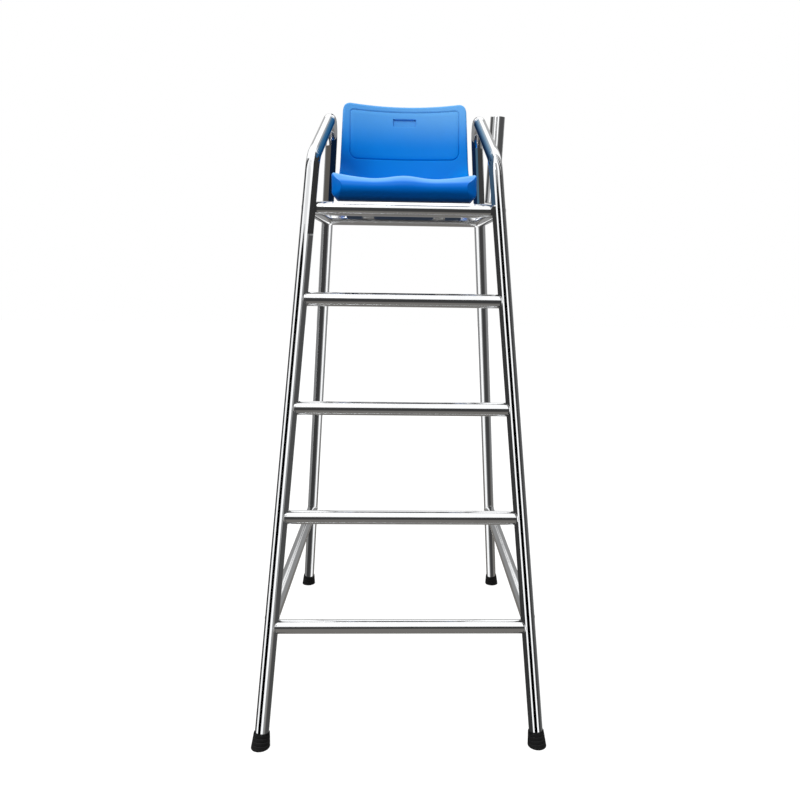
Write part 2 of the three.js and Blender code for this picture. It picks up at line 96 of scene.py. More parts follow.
class Reading:
    """A value that changes over a surface: one output socket, with Python's operators."""

    def __init__(self, book: "ShaderBook", socket: bpy.types.NodeSocket | None) -> None:
        """Keeps the socket, which an output node doesn't have, and the book it belongs to."""
        self.book = book
        self.socket = socket

    def _math(self, operation: str, first: "Reading | float", second: "Reading | float") -> "Reading":
        """Adds one Math node.

        Args:
            operation: The node's operation.
            first: Its first value.
            second: Its second value.

        Returns:
            The node's output.
        """
        return self.book.node("ShaderNodeMath", {"operation": operation}, {0: first, 1: second})

    def __add__(self, other: "Reading | float") -> "Reading":
        """The sum of two values."""
        return self._math("ADD", self, other)

    def __radd__(self, other: float) -> "Reading":
        """The sum, where a number comes first."""
        return self._math("ADD", other, self)

    def __sub__(self, other: "Reading | float") -> "Reading":
        """The difference of two values."""
        return self._math("SUBTRACT", self, other)

    def __rsub__(self, other: float) -> "Reading":
        """The difference, where a number comes first."""
        return self._math("SUBTRACT", other, self)

    def __mul__(self, other: "Reading | float") -> "Reading":
        """The product of two values."""
        return self._math("MULTIPLY", self, other)

    def __rmul__(self, other: float) -> "Reading":
        """The product, where a number comes first."""
        return self._math("MULTIPLY", other, self)

    def ramped(self, low: float, high: float) -> "Reading":
        """Rises smoothly from 0 to 1.

        Args:
            low: The value at which the rise starts.
            high: The value at which it ends.

        Returns:
            The ramped value.
        """
        settings = {"interpolation_type": "SMOOTHSTEP", "clamp": True}
        return self.book.node("ShaderNodeMapRange", settings, {0: self, 1: low, 2: high, 3: 0.0, 4: 1.0})

    def falling(self, low: float, high: float) -> "Reading":
        """Falls smoothly from 1 at low to 0 at high."""
        return (self * -1.0).ramped(-high, -low)


class ShaderBook:
    """Writes the nodes of one material or world."""

    def __init__(self, tree: bpy.types.NodeTree) -> None:
        """Empties the tree and keeps it."""
        tree.nodes.clear()
        self.tree = tree

    def node(
        self,
        kind: str,
        settings: dict[str, object] | None = None,
        inputs: dict[str | int, object] | None = None,
        output: str | int = 0,
    ) -> Reading:
        """Adds any node: its settings first, then its sockets.

        Args:
            kind: The node's type.
            settings: Values of the node's own properties.
            inputs: Values or readings, by the name or number of their socket.
            output: The socket that is handed back.

        Returns:
            The wrapped output socket.
        """
        made = self.tree.nodes.new(kind)
        for key, value in (settings or {}).items():
            setattr(made, key, value)
        for key, value in (inputs or {}).items():
            if isinstance(value, Reading):
                self.tree.links.new(value.socket, made.inputs[key])
            else:
                made.inputs[key].default_value = value
        return Reading(self, made.outputs[output] if len(made.outputs) else None)

    def place(self) -> Reading:
        """The point on the surface, in metres."""
        return self.node("ShaderNodeTexCoord", output="Object")

    def part(self, vector: Reading, axis: str) -> Reading:
        """The X, Y or Z of a vector."""
        return self.node("ShaderNodeSeparateXYZ", None, {"Vector": vector}, axis)

    def plain(self, kind: str, tone: Sequence[float]) -> Reading:
        """A shader of one red, green and blue."""
        return self.node(kind, None, {"Color": (*tone, 1.0)})

    def mixed(self, factor: Reading, first: Reading, second: Reading) -> Reading:
        """Mixes two shaders, the second at a factor of 1."""
        return self.node("ShaderNodeMixShader", None, {0: factor, 1: first, 2: second})

    def ray(self, kind: str) -> Reading:
        """1 for rays of a kind and 0 for others."""
        return self.node("ShaderNodeLightPath", output=f"Is {kind} Ray")

    def noise(self, scale: float, detail: float, stretch: Sequence[float] | None = None) -> Reading:
        """Cloudy noise over the surface.

        Args:
            scale: Its fineness, in cells per metre.
            detail: Its octaves.
            stretch: Scales along X, Y and Z, where it is drawn out in one direction.

        Returns:
            The noise, from 0 to 1.
        """
        where = self.place()
        if stretch is not None:
            where = self.node("ShaderNodeMapping", None, {"Vector": where, "Scale": tuple(stretch)})
        inputs = {"Vector": where, "Scale": scale, "Detail": detail}
        return self.node("ShaderNodeTexNoise", None, inputs, "Fac")

    def blend(self, factor: Reading, first: Colour | Reading, second: Colour | Reading) -> Reading:
        """Mixes two colours.

        Args:
            factor: 0 for the first colour, 1 for the second.
            first: The first colour.
            second: The second colour.

        Returns:
            The mixed colour.
        """
        inputs = {"Factor": factor, 6: first, 7: second}
        return self.node("ShaderNodeMix", {"data_type": "RGBA"}, inputs, 2)

    def bump(self, height: Reading, distance: float, strength: float) -> Reading:
        """Turns a height into a normal.

        Args:
            height: The height, from 0 to 1.
            distance: What a height of 1 stands for, in metres.
            strength: How much of it shows.

        Returns:
            The normal.
        """
        inputs = {"Height": height, "Distance": distance, "Strength": strength}
        return self.node("ShaderNodeBump", None, inputs)


def blank_material(name: str) -> tuple[bpy.types.Material, ShaderBook]:
    """A material without nodes, and the book that writes them."""
    material = bpy.data.materials.new(name)
    material.use_nodes = True
    return material, ShaderBook(material.node_tree)


def new_material(
    name: str, values: dict[str, object], varying: Callable[[ShaderBook], dict[str, Reading]]
) -> bpy.types.Material:
    """Makes a material of one Principled shader.

    Args:
        name: The material's name.
        values: What is the same all over the surface, by socket.
        varying: Gives what changes over the surface, by socket.

    Returns:
        The material.
    """
    material, book = blank_material(name)
    shader = book.node("ShaderNodeBsdfPrincipled", None, {**values, **varying(book)})
    book.node("ShaderNodeOutputMaterial", None, {"Surface": shader})
    return material


@dataclass(frozen=True)
class PolishedSteel:
    """Mirror polished stainless tube, with the faint ripple and lines that polishing leaves."""

    grain: Grain
    colour: Colour = (0.80, 0.81, 0.82, 1.0)
    smudge_colour: Colour = (0.70, 0.705, 0.71, 1.0)
    roughness: float = 0.07
    line_roughness: float = 0.05
    line_noise: Span = (1.0, 3.0)
    line_share: float = 0.02
    smudge_roughness: float = 0.05
    smudge_noise: Span = (9.0, 4.0)
    smudge_ramp: Span = (0.52, 0.72)
    smudge_share: float = 0.5
    ripple_noise: Span = (16.0, 1.0)
    relief: Span = (0.6 * MM, 0.5)

    def material(self) -> bpy.types.Material:
        """Builds the steel's material."""
        return new_material(f"polished_steel_{self.grain.name.lower()}", {"Metallic": 1.0}, self._varying)

    def _varying(self, book: ShaderBook) -> dict[str, Reading]:
        """Polishing lines, smudges and a slow ripple.

        Args:
            book: Writes the material's nodes.

        Returns:
            What changes over the surface, by socket.
        """
        lines = book.noise(*self.line_noise, self.grain.value)
        smudges = book.noise(*self.smudge_noise).ramped(*self.smudge_ramp)
        ripple = book.noise(*self.ripple_noise)
        return {
            "Base Color": book.blend(smudges * self.smudge_share, self.colour, self.smudge_colour),
            "Roughness": lines * self.line_roughness + smudges * self.smudge_roughness + self.roughness,
            "Normal": book.bump(ripple + lines * self.line_share, *self.relief),
        }


@dataclass(frozen=True)
class WeldSteel:
    """The steel of a weld, polished with the tube but a little duller."""

    colour: Colour = (0.76, 0.765, 0.77, 1.0)
    tint: Colour = (0.68, 0.665, 0.64, 1.0)
    roughness: float = 0.1
    cloud_roughness: float = 0.1
    cloud_noise: Span = (120.0, 3.0)
    cloud_ramp: Span = (0.45, 0.75)
    grain_noise: Span = (700.0, 2.0)
    relief: Span = (0.05 * MM, 0.3)

    def material(self) -> bpy.types.Material:
        """Builds the weld's material."""
        return new_material("weld_steel", {"Metallic": 1.0}, self._varying)

    def _varying(self, book: ShaderBook) -> dict[str, Reading]:
        """Cloudy tint and a fine roughness.

        Args:
            book: Writes the material's nodes.

        Returns:
            What changes over the surface, by socket.
        """
        cloud = book.noise(*self.cloud_noise)
        return {
            "Base Color": book.blend(cloud.ramped(*self.cloud_ramp), self.colour, self.tint),
            "Roughness": cloud * self.cloud_roughness + self.roughness,
            "Normal": book.bump(book.noise(*self.grain_noise), *self.relief),
        }


@dataclass(frozen=True)
class MouldedPlastic:
    """Satin blue moulded polyethylene with a fine pebbled skin.

    A painted highlight pales the top of the backrest and the top of the lip, a clear coat polishes the lip,
    and painted shade darkens the underside, the grooves and the backrest's lower part on the sitter's right.
    Heights and places are in the frame's axes.
    """

    # colour, the bluer tone of the lower seat, stands for its shade, and lit_backrest_tone, greener, for the
    # backrest's brighter light: lit and shaded copies of one blue.
    colour: Colour = (0.0, 0.175, 0.75, 1.0)
    lit_backrest_tone: Colour = (0.0, 0.235, 0.74, 1.0)
    # Painted shade for the backrest's lower part on the sitter's right and for the moulded grooves.
    painted_shade_tone: Colour = (0.0, 0.09, 0.42, 1.0)
    # A painted highlight: the sheen on the backrest's top and on the lip's top.
    painted_highlight_tone: Colour = (0.25, 0.62, 1.0, 1.0)
    # Painted shade on the seat's underside and along its lowest edge.
    painted_underside_shade: Colour = (0.01, 0.025, 0.06, 1.0)
    roughness: float = 0.36
    specular_level: float = 0.04
    coat_roughness: float = 0.42
    pebbles_per_metre: float = 900.0
    relief: Span = (0.12 * MM, 0.35)
    scuff_noise: Span = (60.0, 5.0)
    scuff_ramp: Span = (0.62, 0.8)
    scuff_roughness: float = 0.1
    flow_noise: Span = (7.0, 3.0)
    flow_ramp: Span = (0.35, 0.7)
    flow_roughness: float = 0.08
    flow_rise: float = 1.5
    flow_shares: Span = (0.15, 0.1)
    backrest_foot: Span = (1.545, 1.575)
    back_polish: Span = (1.62, 1.80)
    back_coat: float = 0.1
    lip_coat_and_highlight_height: Span = (1.490, 1.520)
    # The lip band, which takes both a clear coat and a painted highlight.
    lip_along: Span = (-0.24, -0.17)
    lip_highlight_facing: Span = (0.52, 1.0)
    lip_highlight_share: float = 0.6
    lip_coat: float = 0.35
    # Where the painted highlight lies on the backrest's top and how strong it is, stronger towards the
    # sitter's left.
    highlight_height: Span = (1.65, 1.80)
    highlight_across: Span = (-0.2, 0.15)
    highlight_share: float = 0.42
    highlight_extra: float = 0.14
    # Where painted shade darkens the backrest's lower part on the sitter's right.
    shade_height: Span = (1.60, 1.69)
    shade_across: Span = (-0.22, -0.03)
    shade_share: float = 0.7
    # Painted shade in the grooves, where the mesh is hollow.
    hollow: Span = (0.505, 0.53)
    hollow_share: float = 0.5
    # Painted shade on downward faces, and on everything below a height.
    underside_shade_height: Span = (1.464, 1.476)
    underside_shade_facing: Span = (-0.95, -0.6)
    underside_shade_share: float = 0.6

    def material(self) -> bpy.types.Material:
        """Builds the seat's material."""
        values = {
            "Metallic": 0.0, "IOR": 1.5, "Specular IOR Level": self.specular_level,
            "Coat Roughness": self.coat_roughness,
        }
        return new_material("seat_plastic_satin", values, self._varying)

    def _varying(self, book: ShaderBook) -> dict[str, Reading]:
        """The pebbled skin and the slow flow marks, over painted highlights, painted shade and a greener tone
        for the better lit backrest.

        Args:
            book: Writes the material's nodes.

        Returns:
            What changes over the surface, by socket.
        """
        flow = book.noise(*self.flow_noise)
        marks = flow.ramped(*self.flow_ramp)
        cells = {"Vector": book.place(), "Scale": self.pebbles_per_metre}
        pebbles = book.node("ShaderNodeTexVoronoi", None, cells, "Distance")
        scuffs = book.noise(*self.scuff_noise).ramped(*self.scuff_ramp)
        across, along, height = (book.part(book.place(), axis) for axis in "XYZ")
        upward = book.part(book.node("ShaderNodeNewGeometry", output="Normal"), "Z")
        # Hollow places, where painted shade goes into the grooves.
        hollow = 1.0 - book.node("ShaderNodeNewGeometry", output="Pointiness")
        # The lip band takes a clear coat, and a painted highlight on its upward faces.
        lip = height.ramped(*self.lip_coat_and_highlight_height) * along.falling(*self.lip_along)
        # Painted highlight on the backrest's top.
        highlight_strength = across.ramped(*self.highlight_across) * self.highlight_extra + self.highlight_share
        backrest_highlight = height.ramped(*self.highlight_height) * highlight_strength
        painted_highlight = backrest_highlight + lip * upward.ramped(*self.lip_highlight_facing) * self.lip_highlight_share
        # Painted shade low on the backrest, on the sitter's right.
        shaded = across.falling(*self.shade_across) * height.falling(*self.shade_height)
        low = book.blend(marks * self.flow_shares[0], self.colour, self.lit_backrest_tone)
        high = book.blend(marks * self.flow_shares[1] + shaded * self.shade_share, self.lit_backrest_tone, self.painted_shade_tone)
        # The backrest takes the lit tone and the lower seat the shaded one.
        plain = book.blend(height.ramped(*self.backrest_foot), low, high)
        # Painted shade in the grooves.
        plain = book.blend(hollow.ramped(*self.hollow) * self.hollow_share, plain, self.painted_shade_tone)
        # Painted shade on downward faces and along the seat's lowest edge.
        dust_and_shade = book.blend(upward.falling(*self.underside_shade_facing), plain, self.painted_underside_shade)
        dust_and_shade = book.blend(height.falling(*self.underside_shade_height) * self.underside_shade_share, dust_and_shade, self.painted_underside_shade)
        return {
            "Base Color": book.blend(painted_highlight, dust_and_shade, self.painted_highlight_tone),
            "Coat Weight": lip * self.lip_coat + height.ramped(*self.back_polish) * self.back_coat,
            "Roughness": flow * self.flow_roughness + scuffs * self.scuff_roughness + self.roughness,
            "Normal": book.bump(pebbles + flow * self.flow_rise, *self.relief),
        }


@dataclass(frozen=True)
class FootRubber:
    """Black rubber with a matt grain and dust near the floor."""

    colour: Colour = (0.006, 0.006, 0.0065, 1.0)
    dust: Colour = (0.03, 0.029, 0.027, 1.0)
    dust_height: float = 12.0 * MM
    dust_noise: Span = (180.0, 4.0)
    dust_ramp: Span = (0.35, 0.7)
    dust_share: float = 0.8
    dust_roughness: float = 0.2
    roughness: float = 0.55
    specular_level: float = 0.25
    grain_roughness: float = 0.15
    grain_noise: Span = (1500.0, 2.0)
    relief: Span = (0.1 * MM, 0.5)

    def material(self) -> bpy.types.Material:
        """Builds the rubber's material."""
        values = {"Metallic": 0.0, "Specular IOR Level": self.specular_level}
        return new_material("foot_rubber_black", values, self._varying)

    def _varying(self, book: ShaderBook) -> dict[str, Reading]:
        """Grain and dust.

        Args:
            book: Writes the material's nodes.

        Returns:
            What changes over the surface, by socket.
        """
        grain = book.noise(*self.grain_noise)
        low = 1.0 - book.part(book.place(), "Z").ramped(0.0, self.dust_height)
        dust_and_shade = low * book.noise(*self.dust_noise).ramped(*self.dust_ramp)
        return {
            "Base Color": book.blend(dust_and_shade * self.dust_share, self.colour, self.dust),
            "Roughness": grain * self.grain_roughness + dust_and_shade * self.dust_roughness + self.roughness,
            "Normal": book.bump(grain, *self.relief),
        }


@dataclass(frozen=True)
class PlatedSteel:
    """Zinc plate with its pale, cloudy bloom."""

    colour: Colour = (0.60, 0.61, 0.62, 1.0)
    bloom: Colour = (0.68, 0.68, 0.64, 1.0)
    roughness: float = 0.26
    cloud_roughness: float = 0.2
    cloud_noise: Span = (260.0, 3.0)
    cloud_ramp: Span = (0.4, 0.7)
    pit_noise: Span = (2400.0, 2.0)
    relief: Span = (0.05 * MM, 0.3)

    def material(self) -> bpy.types.Material:
        """Builds the plating's material."""
        return new_material("zinc_plate", {"Metallic": 1.0}, self._varying)

    def _varying(self, book: ShaderBook) -> dict[str, Reading]:
        """Cloudy bloom and fine pits.

        Args:
            book: Writes the material's nodes.

        Returns:
            What changes over the surface, by socket.
        """
        cloud = book.noise(*self.cloud_noise)
        return {
            "Base Color": book.blend(cloud.ramped(*self.cloud_ramp), self.colour, self.bloom),
            "Roughness": cloud * self.cloud_roughness + self.roughness,
            "Normal": book.bump(book.noise(*self.pit_noise), *self.relief),
        }


@dataclass(frozen=True)
class TurnedBrass:
    """Brass with the fine rings of turning."""

    colour: Colour = (0.72, 0.55, 0.27, 1.0)
    dull: Colour = (0.50, 0.37, 0.18, 1.0)
    roughness: float = 0.24
    ring_roughness: float = 0.15
    ring_noise: Span = (1.0, 2.0)
    ring_stretch: tuple[float, float, float] = (60.0, 60.0, 4000.0)
    dull_noise: Span = (150.0, 3.0)
    dull_ramp: Span = (0.45, 0.75)
    relief: Span = (0.05 * MM, 0.4)

    def material(self) -> bpy.types.Material:
        """Builds the brass's material."""
        return new_material("turned_brass", {"Metallic": 1.0}, self._varying)

    def _varying(self, book: ShaderBook) -> dict[str, Reading]:
        """Turning rings and dull patches.

        Args:
            book: Writes the material's nodes.

        Returns:
            What changes over the surface, by socket.
        """
        rings = book.noise(*self.ring_noise, self.ring_stretch)
        dull = book.noise(*self.dull_noise).ramped(*self.dull_ramp)
        return {
            "Base Color": book.blend(dull, self.colour, self.dull),
            "Roughness": rings * self.ring_roughness + self.roughness,
            "Normal": book.bump(rings, *self.relief),
        }


def unit(vector: np.ndarray) -> np.ndarray:
    """The vector at length 1."""
    return vector / np.linalg.norm(vector)


def smooth(values: np.ndarray | float, low: float, high: float) -> np.ndarray | float:
    """Smooth rise from 0 at low to 1 at high."""
    share = np.clip((values - low) / (high - low), 0.0, 1.0)
    return share * share * (3.0 - 2.0 * share)


def place_object(name: str, data: bpy.types.ID) -> bpy.types.Object:
    """Makes an object of its data and puts it in the scene."""
    made = bpy.data.objects.new(name, data)
    bpy.context.scene.collection.objects.link(made)
    return made


class Draft:
    """Gathers points and faces, and makes one mesh piece of them."""

    def __init__(self) -> None:
        """Starts empty."""
        self.points: list[np.ndarray] = []
        self.faces: list[tuple[int, ...]] = []
        self.count = 0

    def add_points(self, points: np.ndarray) -> np.ndarray:
        """Adds points.

        Args:
            points: An array whose last axis is X, Y and Z.

        Returns:
            Their numbers, in the array's own shape.
        """
        flat = np.asarray(points, float).reshape(-1, 3)
        numbers = np.arange(self.count, self.count + len(flat)).reshape(np.shape(points)[:-1])
        self.points.append(flat)
        self.count += len(flat)
        return numbers

    def add_quads(self, numbers: np.ndarray, wrap_rows: bool = False, wrap_columns: bool = False) -> None:
        """Adds the quads of a grid of numbered points.

        Args:
            numbers: Point numbers in rows and columns.
            wrap_rows: Joins the last row to the first.
            wrap_columns: Joins the last column to the first.
        """
        grid = np.asarray(numbers)
        if wrap_rows:
            grid = np.vstack([grid, grid[:1]])
        if wrap_columns:
            grid = np.hstack([grid, grid[:, :1]])
        corners = (grid[:-1, :-1], grid[:-1, 1:], grid[1:, 1:], grid[1:, :-1])
        self.faces.extend(map(tuple, np.stack(corners, axis=-1).reshape(-1, 4).tolist()))

    def add_fan(self, rim: Sequence[int], centre: np.ndarray) -> None:
        """Closes a rim with a fan of triangles.

        Args:
            rim: Point numbers round the rim.
            centre: The point in its middle.
        """
        middle = int(self.add_points(np.asarray(centre)[None])[0])
        for one, other in zip(rim, [*rim[1:], rim[0]]):
            self.faces.append((int(one), int(other), middle))

    def piece(self, name: str, material: bpy.types.Material, sharp_degrees: float = 40.0) -> bpy.types.Object:
        """Makes the piece, with its normals outward and its flat edges kept sharp.

        Args:
            name: The piece's name.
            material: Its material.
            sharp_degrees: The turn at which an edge is sharp.

        Returns:
            The new object.
        """
        mesh = bpy.data.meshes.new(name)
        mesh.from_pydata(np.vstack(self.points).tolist(), [], self.faces)
        tidy = bmesh.new()
        tidy.from_mesh(mesh)
        bmesh.ops.recalc_face_normals(tidy, faces=tidy.faces)
        for edge in tidy.edges:
            edge.smooth = edge.calc_face_angle(0.0) < math.radians(sharp_degrees)
        for face in tidy.faces:
            face.smooth = True
        tidy.to_mesh(mesh)
        tidy.free()
        mesh.materials.append(material)
        return place_object(name, mesh)


def install(piece: bpy.types.Object, slot: Slot, *nodes: str) -> None:
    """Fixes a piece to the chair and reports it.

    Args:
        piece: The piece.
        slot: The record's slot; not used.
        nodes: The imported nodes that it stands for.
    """
    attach(piece, "root")
    if nodes:
        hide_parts(*nodes)
    faces = len(piece.data.polygons)
    LOG.info("%s: %d faces, stands for %s", piece.name, faces, ", ".join(nodes) or "nothing")


@dataclass(frozen=True)
class Line:
    """The axis of a straight tube, from one point to another, and the tube's radius."""

    start: np.ndarray
    end: np.ndarray
    radius: float

    @property
    def direction(self) -> np.ndarray:
        """Unit vector from start to end."""
        return unit(self.end - self.start)

    @property
    def length(self) -> float:
        """Distance from start to end."""
        return float(np.linalg.norm(self.end - self.start))

    def at(self, share: float) -> np.ndarray:
        """The point at a share of the way from start to end."""
        return self.start + (self.end - self.start) * share

    def meets(self, point: np.ndarray, along: np.ndarray, sink: float) -> float:
        """How far from a point, going along a direction, this tube's near skin lies.

        Args:
            point: Where the going starts.
            along: The unit direction.
            sink: How far under the skin the place lies.

        Returns:
            The distance, or infinity where the way misses the tube.
        """
        offset = point - self.start
        axis = self.direction
        flat_way = along - axis * (along @ axis)
        flat_offset = offset - axis * (offset @ axis)
        a = flat_way @ flat_way
        b = 2.0 * flat_way @ flat_offset
        c = flat_offset @ flat_offset - (self.radius - sink) ** 2
        root = b * b - 4.0 * a * c
        return (-b - math.sqrt(root)) / (2.0 * a) if root > 0.0 else math.inf


@dataclass(frozen=True)
class Workshop:
    """How fine the round shapes are, and how welds and rims are finished."""

    sides: int = 64
    bend_steps: int = 24
    sink: float = 0.4 * MM
    bead_radius: float = 1.1 * MM
    bead_sides: int = 10
    bead_stations: int = 112
    bead_waves: int = 36
    bead_wave_share: float = 0.05
    bead_sharp_degrees: float = 80.0
    rim_steps: int = 4

    @staticmethod
    def ring_axes(direction: np.ndarray) -> Station:
        """Two unit vectors square to a direction and to each other."""
        helper = UP if abs(direction[2]) < 0.8 else -FORWARD
        first = unit(np.cross(helper, direction))
        return first, np.cross(direction, first)

    @staticmethod
    def angles(count: int) -> np.ndarray:
        """Angles at equal steps round a circle."""
        return np.arange(count) * 2.0 * math.pi / count

    def ring(self, centre: np.ndarray, axes: Sequence[np.ndarray], radius: float, count: int) -> np.ndarray:
        """Points round a circle.

        Args:
            centre: The circle's centre.
            axes: Two unit vectors in its plane.
            radius: Its radius.
            count: The number of points.

        Returns:
            The points, one row each.
        """
        turn = self.angles(count)[:, None]
        return centre + radius * (np.cos(turn) * axes[0] + np.sin(turn) * axes[1])

    def saddle(self, line: Line, neighbours: Sequence[Line], towards_end: bool, count: int) -> np.ndarray:
        """The curve on a tube's skin along which it meets its neighbours.

        Args:
            line: The tube.
            neighbours: The tubes that its end meets.
            towards_end: Whether this is the tube's end rather than its start.
            count: The number of points.

        Returns:
            The points, one row each.
        """
        way = line.direction if towards_end else -line.direction
        middle = (line.start + line.end) / 2.0
        limit = line.length / 2.0
        rim = self.ring(middle, self.ring_axes(line.direction), line.radius, count)
        reaches = [
            min([limit, *(other.meets(point, way, self.sink) for other in neighbours)]) for point in rim
        ]
        return rim + np.array(reaches)[:, None] * way

    def fitted_tube(self, draft: Draft, line: Line, at_start: Sequence[Line], at_end: Sequence[Line]) -> None:
        """Adds a straight tube whose ends are shaped to the tubes that they meet.

        Args:
            draft: Where its faces go.
            line: The tube.
            at_start: The tubes at its start.
            at_end: The tubes at its end.
        """
        first = self.saddle(line, at_start, False, self.sides)
        last = self.saddle(line, at_end, True, self.sides)
        rows = draft.add_points(np.stack([first, last]))
        draft.add_quads(rows, wrap_columns=True)
        draft.add_fan(rows[0].tolist(), first.mean(axis=0))
        draft.add_fan(rows[1].tolist(), last.mean(axis=0))

    def weld_ends(self, draft: Draft, line: Line, at_start: Sequence[Line], at_end: Sequence[Line]) -> None:
        """Adds a bead round each end of such a tube.

        Args:
            draft: Where its faces go.
            line: The tube.
            at_start: The tubes at its start.
            at_end: The tubes at its end.
        """
        for neighbours, towards_end in ((at_start, False), (at_end, True)):
            self.bead(draft, self.saddle(line, neighbours, towards_end, self.bead_stations))

    def bead(self, draft: Draft, path: np.ndarray, closed: bool = True) -> None:
        """Adds a weld bead with its ripples along a path.

        Args:
            draft: Where its faces go.
            path: Points along the weld.
            closed: Whether the path comes back to its start.
        """
        ahead = np.roll(path, -1, axis=0)
        behind = np.roll(path, 1, axis=0)
        if not closed:
            ahead[-1], behind[0] = path[-1], path[0]
        tangents = ahead - behind
        tangents /= np.linalg.norm(tangents, axis=1)[:, None]
        normal = unit(np.linalg.svd(path - path.mean(axis=0))[2][2])
        turn = self.angles(self.bead_sides)[:, None]
        rows = []
        for index, (point, tangent) in enumerate(zip(path, tangents)):
            side = unit(np.cross(tangent, normal))
            up = np.cross(side, tangent)
            phase = 2.0 * math.pi * self.bead_waves * index / len(path)
            radius = self.bead_radius * (1.0 + self.bead_wave_share * math.cos(phase))
            rows.append(point + radius * (np.cos(turn) * side + np.sin(turn) * up))
        numbers = draft.add_points(np.stack(rows))
        draft.add_quads(numbers, wrap_rows=closed, wrap_columns=True)
        if not closed:
            draft.add_fan(numbers[0].tolist(), path[0])
            draft.add_fan(numbers[-1].tolist(), path[-1])

    def lathe(self, draft: Draft, profile: Sequence[Span], base: np.ndarray, axis: np.ndarray) -> None:
        """Turns a closed profile round an axis.

        Args:
            draft: Where its faces go.
            profile: Radius and height of each point. A radius of 0 at both ends closes the shape.
            base: The point at height 0.
            axis: The unit axis.
        """
        axes = self.ring_axes(axis)
        on_axis = [radius < 1e-9 for radius, _ in profile]
        rings = [
            draft.add_points(self.ring(base + height * axis, axes, radius, self.sides))
            for (radius, height), flat in zip(profile, on_axis)
            if not flat
        ]
        draft.add_quads(np.stack(rings), wrap_rows=not any(on_axis), wrap_columns=True)
        if on_axis[0]:
            draft.add_fan(rings[0].tolist(), base + profile[0][1] * axis)
        if on_axis[-1]:
            draft.add_fan(rings[-1].tolist(), base + profile[-1][1] * axis)


@dataclass(frozen=True)
class ChairSizes:
    """The chair's driving sizes, measured on the tubes' axes."""

    tube_diameter: float = 38.0 * MM
    bend_radius: float = 80.0 * MM
    seat_rail_height: float = 1440.0 * MM
    seat_frame_depth: float = 515.0 * MM
    seat_width: float = 412.0 * MM
    seat_side_gap: float = 35.5 * MM
    splay_degrees: float = 4.6
    lean_degrees: float = 10.6
    arm_front_rise: float = 138.0 * MM
    arm_rear_rise: float = 336.0 * MM
    first_rung_height: float = 317.0 * MM
    rung_pitch: float = 292.5 * MM
    rung_count: int = 4
    rung_setback: float = 2.4 * MM
    lower_rail_height: float = 342.0 * MM
    cross_rail_setback: float = 17.5 * MM
    bearer_thickness: float = 6.0 * MM
    bearer_spacing: float = 240.0 * MM
    foot_floor: float = 9.0 * MM
    gap: float = 0.3 * MM

    @property
    def tube_radius(self) -> float:
        """Outer radius of the frame tube."""
        return self.tube_diameter / 2.0

    @property
    def half_width(self) -> float:
        """From the middle to a side frame, at the height of the seat rails."""
        return self.seat_width / 2.0 + self.seat_side_gap + self.tube_radius

    @property
    def cross_rail_reach(self) -> float:
        """From the middle to a cross rail under the seat."""
        return self.seat_frame_depth / 2.0 - self.cross_rail_setback

    @property
    def seat_underside(self) -> float:
        """Height of the seat's underside."""
        return self.seat_rail_height + self.tube_radius + self.gap

    def leg_point(self, side: Side, end: End, height: float) -> np.ndarray:
        """A point on a leg's axis.

        Args:
            side: The leg's side.
            end: Front or rear.
            height: Its height above the floor.

        Returns:
            The point.
        """
        drop = self.seat_rail_height - height
        across = self.half_width + drop * math.tan(math.radians(self.splay_degrees))
        along = self.seat_frame_depth / 2.0 + drop * math.tan(math.radians(self.lean_degrees))
        return np.array([side.value * across, end.value * along, height])

    def leg(self, side: Side, end: End) -> Line:
        """The straight part of a leg."""
        top = self.seat_rail_height + self.arm_front_rise
        return Line(self.leg_point(side, end, 0.0), self.leg_point(side, end, top), self.tube_radius)

    def arm(self, side: Side) -> Line:
        """An armrest's axis, between the points where it crosses the legs' axes."""
        front = self.leg_point(side, End.FRONT, self.seat_rail_height + self.arm_front_rise)
        rear = self.leg_point(side, End.REAR, self.seat_rail_height + self.arm_rear_rise)
        return Line(front, rear, self.tube_radius)


